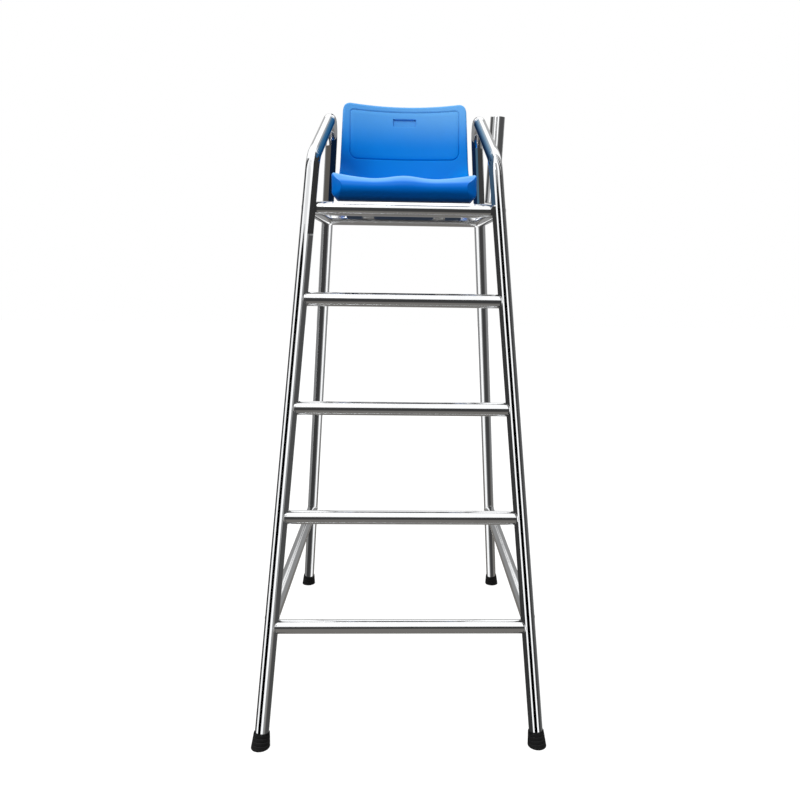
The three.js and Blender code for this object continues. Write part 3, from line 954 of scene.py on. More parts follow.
@dataclass
class TubeFrame:
    """Side frames, steps, rails and seat bearers, with their welds."""

    sizes: ChairSizes
    workshop: Workshop
    bearer_width: float = 40.0 * MM
    bearer_edge: float = 0.8 * MM
    welds: Draft = field(default_factory=Draft)

    def build(self) -> None:
        """Makes every piece of the frame."""
        upright = PolishedSteel(Grain.UPRIGHT).material()
        across = PolishedSteel(Grain.ACROSS).material()
        fore_aft = PolishedSteel(Grain.FORE_AFT).material()
        for side in Side:
            self._side_frame(side, upright)
        for step in range(self.sizes.rung_count):
            self._rung(step, across)
        for side in Side:
            self._side_rail(side, "lower", self.sizes.lower_rail_height, fore_aft)
            self._side_rail(side, "seat", self.sizes.seat_rail_height, fore_aft)
        for end in End:
            self._cross_rail(end, across)
        for side in Side:
            self._bearer(side, fore_aft)
        sharp = self.workshop.bead_sharp_degrees
        install(self.welds.piece("frame_welds", WeldSteel().material(), sharp), Slot.STEEL)

    def side_stations(self, side: Side) -> list[Station]:
        """Points and tangents along a side frame, from the front foot over the armrest to the rear foot.

        Args:
            side: The side frame's side.

        Returns:
            The stations, in order.
        """
        foot_height = self.sizes.foot_floor + self.sizes.gap
        front, rear = (self.sizes.leg_point(side, end, foot_height) for end in (End.FRONT, End.REAR))
        arm = self.sizes.arm(side)
        corners = [front, arm.start, arm.end, rear]
        stations = [(corners[0], unit(corners[1] - corners[0]))]
        for before, corner, after in zip(corners, corners[1:], corners[2:]):
            stations.extend(self._bend(before, corner, after))
        stations.append((corners[3], unit(corners[3] - corners[2])))
        return stations

    def _bend(self, before: np.ndarray, corner: np.ndarray, after: np.ndarray) -> list[Station]:
        """Stations round one bend.

        Args:
            before: A point on the run that comes in.
            corner: Where the two runs' axes cross.
            after: A point on the run that goes out.

        Returns:
            Points and tangents.
        """
        incoming, outgoing = unit(corner - before), unit(after - corner)
        turn = math.acos(float(incoming @ outgoing))
        first = corner - incoming * self.sizes.bend_radius * math.tan(turn / 2.0)
        inward = unit(outgoing - incoming * (incoming @ outgoing))
        centre = first + inward * self.sizes.bend_radius
        stations = []
        for angle in np.linspace(0.0, turn, self.workshop.bend_steps + 1):
            arm = -inward * math.cos(angle) + incoming * math.sin(angle)
            tangent = incoming * math.cos(angle) + inward * math.sin(angle)
            stations.append((centre + arm * self.sizes.bend_radius, tangent))
        return stations

    def _side_frame(self, side: Side, material: bpy.types.Material) -> None:
        """One side frame, bent from a single tube.

        Args:
            side: Its side.
            material: Its finish.
        """
        stations = self.side_stations(side)
        plane = unit(np.cross(stations[0][1], stations[-1][1]))
        radius, sides = self.sizes.tube_radius, self.workshop.sides
        rings = [
            self.workshop.ring(point, (plane, np.cross(tangent, plane)), radius, sides)
            for point, tangent in stations
        ]
        draft = Draft()
        numbers = draft.add_points(np.stack(rings))
        draft.add_quads(numbers, wrap_columns=True)
        draft.add_fan(numbers[0].tolist(), stations[0][0])
        draft.add_fan(numbers[-1].tolist(), stations[-1][0])
        name = f"{side.name.lower()}_side_frame"
        install(draft.piece(f"{name}_tube", material), Slot.STEEL, name)

    def _straight(
        self, name: str, line: Line, ends: Sequence[Sequence[Line]], material: bpy.types.Material
    ) -> None:
        """One straight tube between others, with its welds.

        Args:
            name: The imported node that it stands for.
            line: The tube.
            ends: The tubes at its start and at its end.
            material: Its finish.
        """
        draft = Draft()
        self.workshop.fitted_tube(draft, line, *ends)
        self.workshop.weld_ends(self.welds, line, *ends)
        install(draft.piece(f"{name}_tube", material), Slot.STEEL, name)

    def rung(self, step: int) -> Line:
        """The axis of a step, counted from 0 at the bottom.

        Args:
            step: The step's number.

        Returns:
            The axis.
        """
        height = self.sizes.first_rung_height + step * self.sizes.rung_pitch
        behind = np.array([0.0, self.sizes.rung_setback, 0.0])
        ends = [self.sizes.leg_point(side, End.FRONT, height) + behind for side in (Side.RIGHT, Side.LEFT)]
        return Line(*ends, self.sizes.tube_radius)

    def _rung(self, step: int, material: bpy.types.Material) -> None:
        """One step."""
        legs = [[self.sizes.leg(side, End.FRONT)] for side in (Side.RIGHT, Side.LEFT)]
        self._straight(f"step_rung_{step + 1}", self.rung(step), legs, material)

    def side_rail(self, side: Side, height: float) -> Line:
        """The axis of a rail between the front and rear leg of one side."""
        ends = [self.sizes.leg_point(side, end, height) for end in (End.FRONT, End.REAR)]
        return Line(*ends, self.sizes.tube_radius)

    def _side_rail(self, side: Side, level: str, height: float, material: bpy.types.Material) -> None:
        """One rail of a side frame."""
        ends = [[self.sizes.leg(side, end)] for end in (End.FRONT, End.REAR)]
        if level == "lower":
            ends[0].append(self.rung(0))
        self._straight(f"{side.name.lower()}_{level}_side_rail", self.side_rail(side, height), ends, material)

    def cross_rail(self, end: End) -> Line:
        """The axis of a rail across the frame under the seat."""
        reach = TOWARDS_LEFT * self.sizes.half_width
        middle = np.array([0.0, end.value * self.sizes.cross_rail_reach, self.sizes.seat_rail_height])
        return Line(middle - reach, middle + reach, self.sizes.tube_radius)

    def _cross_rail(self, end: End, material: bpy.types.Material) -> None:
        """One rail across the frame."""
        height = self.sizes.seat_rail_height
        ends = [[self.side_rail(side, height), self.sizes.leg(side, end)] for side in (Side.RIGHT, Side.LEFT)]
        self._straight(f"seat_{end.name.lower()}_rail", self.cross_rail(end), ends, material)

    def _bearer(self, side: Side, material: bpy.types.Material) -> None:
        """A flat bar with eased edges that carries the seat, and its welds to the cross rails.

        Args:
            side: The bar's side.
            material: Its finish.
        """
        sizes = self.sizes
        thickness = sizes.bearer_thickness
        top = sizes.seat_underside - sizes.gap
        centre = np.array([side.value * sizes.bearer_spacing / 2.0, 0.0, top - thickness / 2.0])
        drop = sizes.seat_rail_height - centre[2]
        reach = sizes.cross_rail_reach - math.sqrt(sizes.tube_radius**2 - drop**2)
        bar = bmesh.new()
        bmesh.ops.create_cube(bar, size=1.0)
        scale = Matrix.Diagonal((self.bearer_width, 2.0 * reach, thickness, 1.0))
        bmesh.ops.transform(bar, matrix=Matrix.Translation(centre.tolist()) @ scale, verts=bar.verts)
        bmesh.ops.bevel(
            bar, geom=bar.edges[:], offset=self.bearer_edge, segments=3, affect="EDGES", profile=0.5,
            clamp_overlap=True,
        )
        for face in bar.faces:
            face.smooth = True
        name = f"{side.name.lower()}_seat_bearer"
        mesh = bpy.data.meshes.new(f"{name}_bar")
        bar.to_mesh(mesh)
        bar.free()
        mesh.materials.append(material)
        install(place_object(f"{name}_bar", mesh), Slot.STEEL, name)
        x_range = np.linspace(-0.5, 0.5, self.workshop.bead_stations // 4) * self.bearer_width
        for end in End:
            place = np.array([centre[0], end.value * reach, centre[2] - thickness / 2.0])
            self.workshop.bead(self.welds, place + np.outer(x_range, TOWARDS_LEFT), closed=False)


@dataclass
class RubberFeet:
    """Ribbed rubber cups on the four legs, cut flat on the floor."""

    sizes: ChairSizes
    workshop: Workshop
    height: float = 40.0 * MM
    top_wall: float = 2.2 * MM
    bottom_wall: float = 6.2 * MM
    rib_count: int = 3
    rib_depth: float = 1.1 * MM
    notch_in: Span = (0.72, 0.86)
    notch_out: Span = (0.9, 1.0)
    plain_foot_share: float = 0.4
    wall_steps: int = 60
    lip: float = 0.9 * MM
    lip_steps: int = 5
    sole_edge: float = 0.7 * MM
    sharp_degrees: float = 50.0

    def build(self) -> None:
        """Makes the four feet."""
        rubber = FootRubber().material()
        for side in Side:
            for end in End:
                self._foot(side, end, rubber)

    def _outside(self, height: float) -> float:
        """Outer radius at a height along the leg."""
        socket = self.sizes.tube_radius + self.sizes.gap
        share = height / self.height
        return socket + self.bottom_wall + (self.top_wall - self.bottom_wall) * share

    def _profile(self) -> list[Span]:
        """Radius and height of the cup's section, with rounded ribs and lip."""
        socket = self.sizes.tube_radius + self.sizes.gap
        bottom = -2.0 * self.sizes.foot_floor
        pitch = self.height / (self.rib_count + 1)
        profile = [(0.0, bottom), (self._outside(bottom), bottom)]
        heights = np.linspace(-self.sizes.foot_floor, self.height - self.lip, self.wall_steps)
        for height in heights:
            share = (height / pitch) % 1.0
            ribbed = height > self.plain_foot_share * pitch
            notch = smooth(share, *self.notch_in) * (1.0 - smooth(share, *self.notch_out)) if ribbed else 0.0
            profile.append((self._outside(height) - self.rib_depth * float(notch), float(height)))
        for angle in np.linspace(0.0, math.pi / 2.0, self.lip_steps):
            radius = self._outside(self.height) - self.lip * (1.0 - math.cos(angle))
            profile.append((radius, self.height - self.lip + self.lip * math.sin(angle)))
        profile.extend([(socket, self.height), (socket, self.sizes.foot_floor), (0.0, self.sizes.foot_floor)])
        return profile

    def _foot(self, side: Side, end: End, material: bpy.types.Material) -> None:
        """One foot along its leg, its sole flat on the floor.

        Args:
            side: Its leg's side.
            end: Front or rear.
            material: Its finish.
        """
        leg = self.sizes.leg(side, end)
        draft = Draft()
        self.workshop.lathe(draft, self._profile(), leg.start, leg.direction)
        name = f"{side.name.lower()}_{end.name.lower()}_foot"
        piece = draft.piece(f"{name}_ferrule", material, self.sharp_degrees)
        cut = bmesh.new()
        cut.from_mesh(piece.data)
        everything = [*cut.verts, *cut.edges, *cut.faces]
        sliced = bmesh.ops.bisect_plane(
            cut, geom=everything, plane_co=(0.0, 0.0, 0.0), plane_no=(0.0, 0.0, 1.0), clear_inner=True
        )
        rim = [part for part in sliced["geom_cut"] if isinstance(part, bmesh.types.BMEdge)]
        bmesh.ops.contextual_create(cut, geom=rim)
        bmesh.ops.recalc_face_normals(cut, faces=cut.faces)
        bmesh.ops.bevel(cut, geom=rim, offset=self.sole_edge, segments=2, affect="EDGES", profile=0.5)
        cut.to_mesh(piece.data)
        cut.free()
        install(piece, Slot.RUBBER, name)


def rounded_box_distance(
    across: np.ndarray, up: np.ndarray, half: Span, low_radius: float, top_radius: float
) -> np.ndarray:
    """Signed distance to a rectangle with round corners, negative inside.

    Args:
        across: Places across, from its centre.
        up: Places up, from its centre.
        half: Half its width and height.
        low_radius: Radius of its lower corners.
        top_radius: Radius of its upper corners.

    Returns:
        The distances.
    """
    radius = np.where(up > 0.0, top_radius, low_radius)
    qx = np.abs(across) - half[0] + radius
    qy = np.abs(up) - half[1] + radius
    outside = np.hypot(np.maximum(qx, 0.0), np.maximum(qy, 0.0))
    return np.minimum(np.maximum(qx, qy), 0.0) + outside - radius


@dataclass
class MouldedSeat:
    """The bucket seat: a loft of fore-and-aft sections, with a line and a recess in its backrest."""

    sizes: ChairSizes
    workshop: Workshop
    front_width_share: float = 0.963
    top_width_share: float = 0.957
    ear_height: float = 76.5 * MM
    lip_valley_depth: float = 11.3 * MM
    lip_top_reach: float = 248.0 * MM
    nose_reach: float = 290.0 * MM
    nose_height: float = 40.0 * MM
    toe_reach: float = 256.0 * MM
    pan_front_reach: float = 140.0 * MM
    pan_front_height: float = 46.0 * MM
    pan_rear_height: float = 42.0 * MM
    rim_front_height: float = 86.0 * MM
    rim_rear_height: float = 112.0 * MM
    back_height: float = 343.0 * MM
    back_dip: float = 9.0 * MM
    back_top_reach: float = 183.0 * MM
    back_rake_degrees: float = 15.0
    back_thickness: float = 26.0 * MM
    back_wrap: float = 32.0 * MM
    back_corner_radius: float = 26.0 * MM
    edge_radius: float = 7.0 * MM
    cheek_width: float = 40.0 * MM
    cheek_depth: float = 34.0 * MM
    cheek_softness: float = 4.0 * MM
    heel_chamfer_width: float = 21.0 * MM
    heel_chamfer_height: float = 18.0 * MM
    groove_width: float = 352.0 * MM
    groove_bottom_height: float = 161.0 * MM
    groove_top_margin: float = 20.0 * MM
    groove_line: float = 5.0 * MM
    groove_flat_share: float = 0.3
    groove_depth: float = 2.5 * MM
    groove_top_dip: float = 5.0 * MM
    groove_top_radius: float = 15.0 * MM
    groove_bottom_radius: float = 26.0 * MM
    panel_rise: float = 0.8 * MM
    recess_width: float = 75.0 * MM
    recess_height: float = 24.0 * MM
    recess_depth: float = 6.0 * MM
    recess_drop: float = 61.0 * MM
    recess_edge: float = 1.8 * MM
    recess_corner: float = 2.5 * MM
    pan_flat_share: float = 0.45
    corner_room_share: float = 0.48
    lip_fall_shares: tuple[Span, ...] = (
        (0.0, 0.14), (0.11, 0.3), (0.24, 0.72), (0.38, 1.0), (0.6, 0.84), (0.85, 0.42), (1.0, 0.0),
    )
    corner_steps: int = 8
    run_steps: tuple[int, ...] = (3, 3, 10, 14, 130, 2, 60, 50)
    back_run: int = 4
    rim_stations: int = 16
    column_width: float = 1.7 * MM
    cap_spacing: float = 6.0 * MM
    cap_margin_share: float = 0.4
    cheek_blend: float = 6.0
    sharp_degrees: float = 60.0

    def build(self) -> None:
        """Makes the seat."""
        draft = Draft()
        shares = self._shares()
        sections = [self._section(float(share)) for share in np.abs(shares)]
        points = np.stack([self._placed(share, section) for share, section in zip(shares, sections)])
        self._press_back(points)
        numbers = draft.add_points(points)
        draft.add_quads(numbers, wrap_columns=True)
        for column in (0, -1):
            self._cap(draft, float(shares[column]), sections[column], numbers[column])
        draft.points = [self._trim_cheeks(block) for block in draft.points]
        piece = draft.piece("seat_shell_moulding", MouldedPlastic().material(), self.sharp_degrees)
        install(piece, Slot.PLASTIC, "seat_shell")

    def _shares(self) -> np.ndarray:
        """Places of the sections across the seat, from -1 to 1, close together near the rims."""
        half = self.sizes.seat_width / 2.0
        turn = np.linspace(0.0, math.pi / 2.0, self.rim_stations + 1)
        rim = self.back_corner_radius * (1.0 - np.cos(turn))
        inner = half - self.back_corner_radius
        count = round(2.0 * inner / self.column_width)
        middle = np.linspace(-inner, inner, count + 1)[1:-1]
        return np.concatenate([rim - half, middle, (half - rim)[::-1]]) / half

    def _lip_fall(self, across: float) -> float:
        """Fall of the lip below its ears, as a share of the valleys' depth.

        Args:
            across: 0 in the middle, 1 at the side.

        Returns:
            The share.
        """
        places, falls = np.array(self.lip_fall_shares).T
        slopes = np.gradient(falls, places)
        slopes[0] = 0.0
        index = int(np.clip(np.searchsorted(places, across) - 1, 0, len(places) - 2))
        span = places[index + 1] - places[index]
        t = (across - places[index]) / span
        start = (2 * t**3 - 3 * t**2 + 1) * falls[index] + (t**3 - 2 * t**2 + t) * span * slopes[index]
        finish = (3 * t**2 - 2 * t**3) * falls[index + 1] + (t**3 - t**2) * span * slopes[index + 1]
        return float(start + finish)

    def _corners(self, across: float, from_side: float) -> list[tuple[np.ndarray, float]]:
        """Corners of a section and their radii.

        Args:
            across: 0 in the middle, 1 at the side.
            from_side: Distance from the side.

        Returns:
            Places fore and aft and up, each with its radius.
        """
        wrap = self.back_wrap * across * across
        bolster = float(smooth(across, self.pan_flat_share, 1.0))
        lip_top = self.ear_height - self.lip_valley_depth * self._lip_fall(across)
        pan_front = self.pan_front_height + (self.rim_front_height - self.pan_front_height) * bolster
        pan_rear = self.pan_rear_height + (self.rim_rear_height - self.pan_rear_height) * bolster
        corner_cut = max(0.0, self.back_corner_radius - from_side)
        drop = self.back_corner_radius - math.sqrt(self.back_corner_radius**2 - corner_cut**2)
        back_top = self.back_height - self.back_dip * (1.0 - across * across) - drop
        heel = self.heel_chamfer_height * max(0.0, 1.0 - from_side / self.heel_chamfer_width)
        rake = math.tan(math.radians(self.back_rake_degrees))

        def back_front(height: float) -> float:
            """Place of the backrest's face at a height."""
            return self.back_top_reach - wrap - rake * (self.back_height - height)

        thickness = self.back_thickness
        return [
            (np.array([-self.toe_reach, heel]), 2.0 * self.edge_radius),
            (np.array([-self.nose_reach, self.nose_height]), self.nose_height),
            (np.array([-self.lip_top_reach, lip_top]), self.nose_height),
            (np.array([-self.pan_front_reach, pan_front]), self.pan_front_reach / 2.0),
            (np.array([back_front(pan_rear), pan_rear]), self.pan_front_reach / 2.0),
            (np.array([back_front(back_top), back_top]), thickness / 3.0),
            (np.array([back_front(back_top) + thickness, back_top]), thickness / 3.0),
            (np.array([back_front(heel) + thickness, heel]), thickness),
        ]

    def _rounded(self, corners: Sequence[tuple[np.ndarray, float]]) -> np.ndarray:
        """The outline with an arc at each corner and points along each run.

        Args:
            corners: Places fore and aft and up, each with its radius.

        Returns:
            The outline's points, one row each.
        """
        arcs = []
        for index, (at, radius) in enumerate(corners):
            to_before = corners[index - 1][0] - at
            to_after = corners[(index + 1) % len(corners)][0] - at
            lengths = np.linalg.norm(to_before), np.linalg.norm(to_after)
            half = math.acos(float(to_before @ to_after) / lengths[0] / lengths[1]) / 2.0
            setback = min(radius / math.tan(half), self.corner_room_share * min(lengths))
            first = at + unit(to_before) * setback
            inward = unit(unit(to_before) + unit(to_after))
            centre = at + inward * setback / math.cos(half)
            cross = to_after[0] * to_before[1] - to_after[1] * to_before[0]
            sweep = math.copysign(math.pi - 2.0 * half, cross)
            angles = np.linspace(0.0, sweep, self.corner_steps + 1)
            arm = first - centre
            cosines, sines = np.cos(angles), np.sin(angles)
            turned = [arm[0] * cosines - arm[1] * sines, arm[0] * sines + arm[1] * cosines]
            arcs.append(centre + np.stack(turned, axis=1))
        outline = []
        for index, arc in enumerate(arcs):
            following = arcs[(index + 1) % len(arcs)][0]
            run = np.linspace(arc[-1], following, self.run_steps[index] + 1)[1:-1]
            outline.extend([arc, run])
        return np.vstack(outline)

    def _section(self, across: float) -> np.ndarray:
        """One section, drawn in near the side to round the rim.

        Args:
            across: 0 in the middle, 1 at the side.

        Returns:
            Its points fore and aft and up, one row each.
        """
        from_side = (1.0 - across) * self.sizes.seat_width / 2.0
        outline = self._rounded(self._corners(across, from_side))
        edge_cut = max(0.0, self.edge_radius - from_side)
        inset = self.edge_radius - math.sqrt(self.edge_radius**2 - edge_cut**2)
        along = np.roll(outline, -1, axis=0) - np.roll(outline, 1, axis=0)
        along /= np.linalg.norm(along, axis=1)[:, None]
        return outline + inset * np.stack([along[:, 1], -along[:, 0]], axis=1)

    def _placed(self, share: float, section: np.ndarray) -> np.ndarray:
        """The section's points in the chair's axes.

        Args:
            share: The section's place across the seat, from -1 to 1.
            section: Its points fore and aft and up.

        Returns:
            The points, one row each.
        """
        reach = self.back_top_reach + self.nose_reach
        forward = np.clip((self.back_top_reach - section[:, 0]) / reach, 0.0, 1.0)
        rise = self.back_height - self.rim_rear_height
        upward = np.clip((section[:, 1] - self.rim_rear_height) / rise, 0.0, 1.0)
        narrowing = (1.0 - self.front_width_share) * forward + (1.0 - self.top_width_share) * upward
        across = share * self.sizes.seat_width / 2.0 * (1.0 - narrowing)
        return np.stack([across, section[:, 0], section[:, 1] + self.sizes.seat_underside], axis=1)

    def _press_back(self, points: np.ndarray) -> None:
        """Presses the line and the recess into the backrest's face.

        Args:
            points: The loft's points in columns and rows, which are changed.
        """
        start = sum(self.corner_steps + self.run_steps[index] for index in range(self.back_run))
        face = points[:, start : start + self.corner_steps + self.run_steps[self.back_run] + 1]
        across, up = face[..., 0], face[..., 2] - self.sizes.seat_underside
        top = self.back_height - self.groove_top_margin
        half = (self.groove_width / 2.0, (top - self.groove_bottom_height) / 2.0)
        middle = (top + self.groove_bottom_height) / 2.0
        dip = self.groove_top_dip * (1.0 - np.clip(across / half[0], -1.0, 1.0) ** 2)
        raised = up - middle + dip * smooth(up, middle, top)
        away = rounded_box_distance(across, raised, half, self.groove_bottom_radius, self.groove_top_radius)
        line = np.clip(1.0 - np.abs(away + self.groove_line / 2.0) / (self.groove_line / 2.0), 0.0, 1.0)
        press = self.groove_depth * smooth(line, 0.0, 1.0 - self.groove_flat_share)
        press -= self.panel_rise * smooth(-away, self.groove_line, 3.0 * self.groove_line)
        recess_half = (self.recess_width / 2.0, self.recess_height / 2.0)
        from_recess = up - (self.back_height - self.recess_drop)
        corner = self.recess_corner
        recess = rounded_box_distance(across, from_recess, recess_half, corner, corner)
        press += self.recess_depth * smooth(-recess, 0.0, self.recess_edge)
        rake = math.radians(self.back_rake_degrees)
        face[..., 1] += press * math.cos(rake)
        face[..., 2] -= press * math.sin(rake)

    def _cap(self, draft: Draft, share: float, section: np.ndarray, numbers: np.ndarray) -> None:
        """Closes one side of the loft with a skin that has points inside its outline.

        Args:
            draft: Where its faces go.
            share: The side, as -1 or 1.
            section: The last section.
            numbers: Its points' numbers.
        """
        low, high = section.min(axis=0), section.max(axis=0)
        grid = np.stack(
            np.meshgrid(*(np.arange(low[axis], high[axis], self.cap_spacing) for axis in (0, 1))), axis=-1
        ).reshape(-1, 2)
        edges = np.roll(section, -1, axis=0) - section
        offsets = grid[:, None] - section[None]
        place = np.clip((offsets * edges).sum(-1) / (edges**2).sum(-1), 0.0, 1.0)
        gaps = np.linalg.norm(offsets - place[..., None] * edges, axis=-1).min(axis=1)
        inner = grid[gaps > self.cap_margin_share * self.cap_spacing]
        every = np.vstack([section, inner])
        count = len(section)
        ring = [list(range(count))]
        places = [Vector(at) for at in every.tolist()]
        found, _, faces, origins, _, _ = delaunay_2d_cdt(places, [], ring, 1, 1e-7)
        flat = np.array([tuple(at) for at in found])
        inside = draft.add_points(self._placed(share, flat))
        number_of = [
            int(numbers[origin[0]]) if origin and origin[0] < count else int(inside[index])
            for index, origin in enumerate(origins)
        ]
        draft.faces.extend(tuple(number_of[corner] for corner in face) for face in faces)

    def _trim_cheeks(self, points: np.ndarray) -> np.ndarray:
        """Takes the front corners off, with a soft crease.

        Args:
            points: Points of the seat, one row each.

        Returns:
            The points, those beyond the cheeks drawn in to them.
        """
        half = self.sizes.seat_width / 2.0 * self.front_width_share
        slope = self.cheek_width / self.cheek_depth
        limit = half - self.cheek_width + slope * (points[:, 1] + self.nose_reach)
        across = np.abs(points[:, 0])
        softness = self.cheek_softness
        lower = -softness * np.logaddexp(-across / softness, -limit / softness)
        trimmed = np.where(limit < half + self.cheek_blend * softness, lower, across)
        moved = points.copy()
        moved[:, 0] = np.sign(points[:, 0]) * np.where(across > 1e-6, trimmed, 0.0)
        return moved


@dataclass
class SeatFasteners:
    """Hexagon bolts, washers and threaded inserts that hold the seat."""

    sizes: ChairSizes
    workshop: Workshop
    bolt_diameter: float = 8.0 * MM
    head_width: float = 13.0 * MM
    head_height: float = 5.3 * MM
    bolt_reach: float = 18.0 * MM
    head_face_share: float = 0.96
    head_chamfer_share: float = 0.12
    head_neck_share: float = 0.04
    thread_depth: float = 0.35 * MM
    thread_steps: int = 60
    sharp_degrees: float = 20.0
    washer_diameter: float = 16.0 * MM
    washer_thickness: float = 1.6 * MM
    front_reach: float = 130.0 * MM
    rear_reach: float = 60.0 * MM
    edge: float = 0.35 * MM

    def build(self) -> None:
        """Makes the bolts and washers, and gives the inserts their finish."""
        zinc = PlatedSteel().material()
        brass = TurnedBrass().material()
        for index, place in enumerate(self._places(), start=1):
            self._washer(index, place, zinc)
            self._bolt(index, place, zinc)
            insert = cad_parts[f"seat_insert_{index}"]
            insert.data.materials.clear()
            insert.data.materials.append(brass)
            LOG.info("%s: the packed solid, in turned brass", insert.name)

    def _places(self) -> list[np.ndarray]:
        """Points on the seat's underside, front right first."""
        return [
            np.array([side.value * self.sizes.bearer_spacing / 2.0, along, self.sizes.seat_underside])
            for along in (-self.front_reach, self.rear_reach)
            for side in (Side.RIGHT, Side.LEFT)
        ]

    @property
    def _washer_top(self) -> float:
        """Top of the washer, from the seat's underside."""
        return -2.0 * self.sizes.gap - self.sizes.bearer_thickness

    def _washer(self, index: int, place: np.ndarray, material: bpy.types.Material) -> None:
        """One washer with eased edges.

        Args:
            index: Its number, from 1.
            place: The point on the seat's underside above it.
            material: Its finish.
        """
        inner = self.bolt_diameter / 2.0 + self.sizes.gap
        outer = self.washer_diameter / 2.0
        top = self._washer_top
        bottom = top - self.washer_thickness
        edge = self.edge
        profile = [
            (inner, bottom + edge), (inner + edge, bottom), (outer - edge, bottom), (outer, bottom + edge),
            (outer, top - edge), (outer - edge, top), (inner + edge, top), (inner, top - edge),
        ]
        draft = Draft()
        self.workshop.lathe(draft, profile, place, UP)
        install(draft.piece(f"seat_washer_{index}_turned", material), Slot.ZINC, f"seat_washer_{index}")

    def _bolt(self, index: int, place: np.ndarray, material: bpy.types.Material) -> None:
        """One hexagon bolt, its head chamfered and its shank lightly grooved by the thread.

        Args:
            index: Its number, from 1.
            place: The point on the seat's underside above it.
            material: Its finish.
        """
        head_top = self._washer_top - self.washer_thickness - self.sizes.gap
        head_bottom = head_top - self.head_height
        half = self.head_width / 2.0
        corner = half / math.cos(math.pi / 6.0)
        shank = self.bolt_diameter / 2.0
        levels = [
            (head_bottom, half * self.head_face_share),
            (head_bottom + self.head_chamfer_share * self.head_height, corner),
            (head_top - self.head_neck_share * self.head_height, corner),
            (head_top, half),
        ]
        for number, height in enumerate(np.linspace(head_top, self.bolt_reach, self.thread_steps)):
            levels.append((height, shank - (self.thread_depth if number % 2 else 0.0)))
        turn = self.workshop.angles(self.workshop.sides)
        cosines, sines = np.cos(turn), np.sin(turn)
        flat = half / np.cos((turn % (math.pi / 3.0)) - math.pi / 6.0)
        rows = []
        for height, limit in levels:
            radius = np.minimum(flat, limit)
            ring = np.stack([radius * cosines, radius * sines, np.full_like(turn, height)], axis=1)
            rows.append(place + ring)
        draft = Draft()
        numbers = draft.add_points(np.stack(rows))
        draft.add_quads(numbers, wrap_columns=True)
        draft.add_fan(numbers[0].tolist(), place + UP * head_bottom)
        draft.add_fan(numbers[-1].tolist(), place + UP * self.bolt_reach)
        piece = draft.piece(f"seat_bolt_{index}_hexagon", material, self.sharp_degrees)
        install(piece, Slot.ZINC, f"seat_bolt_{index}")


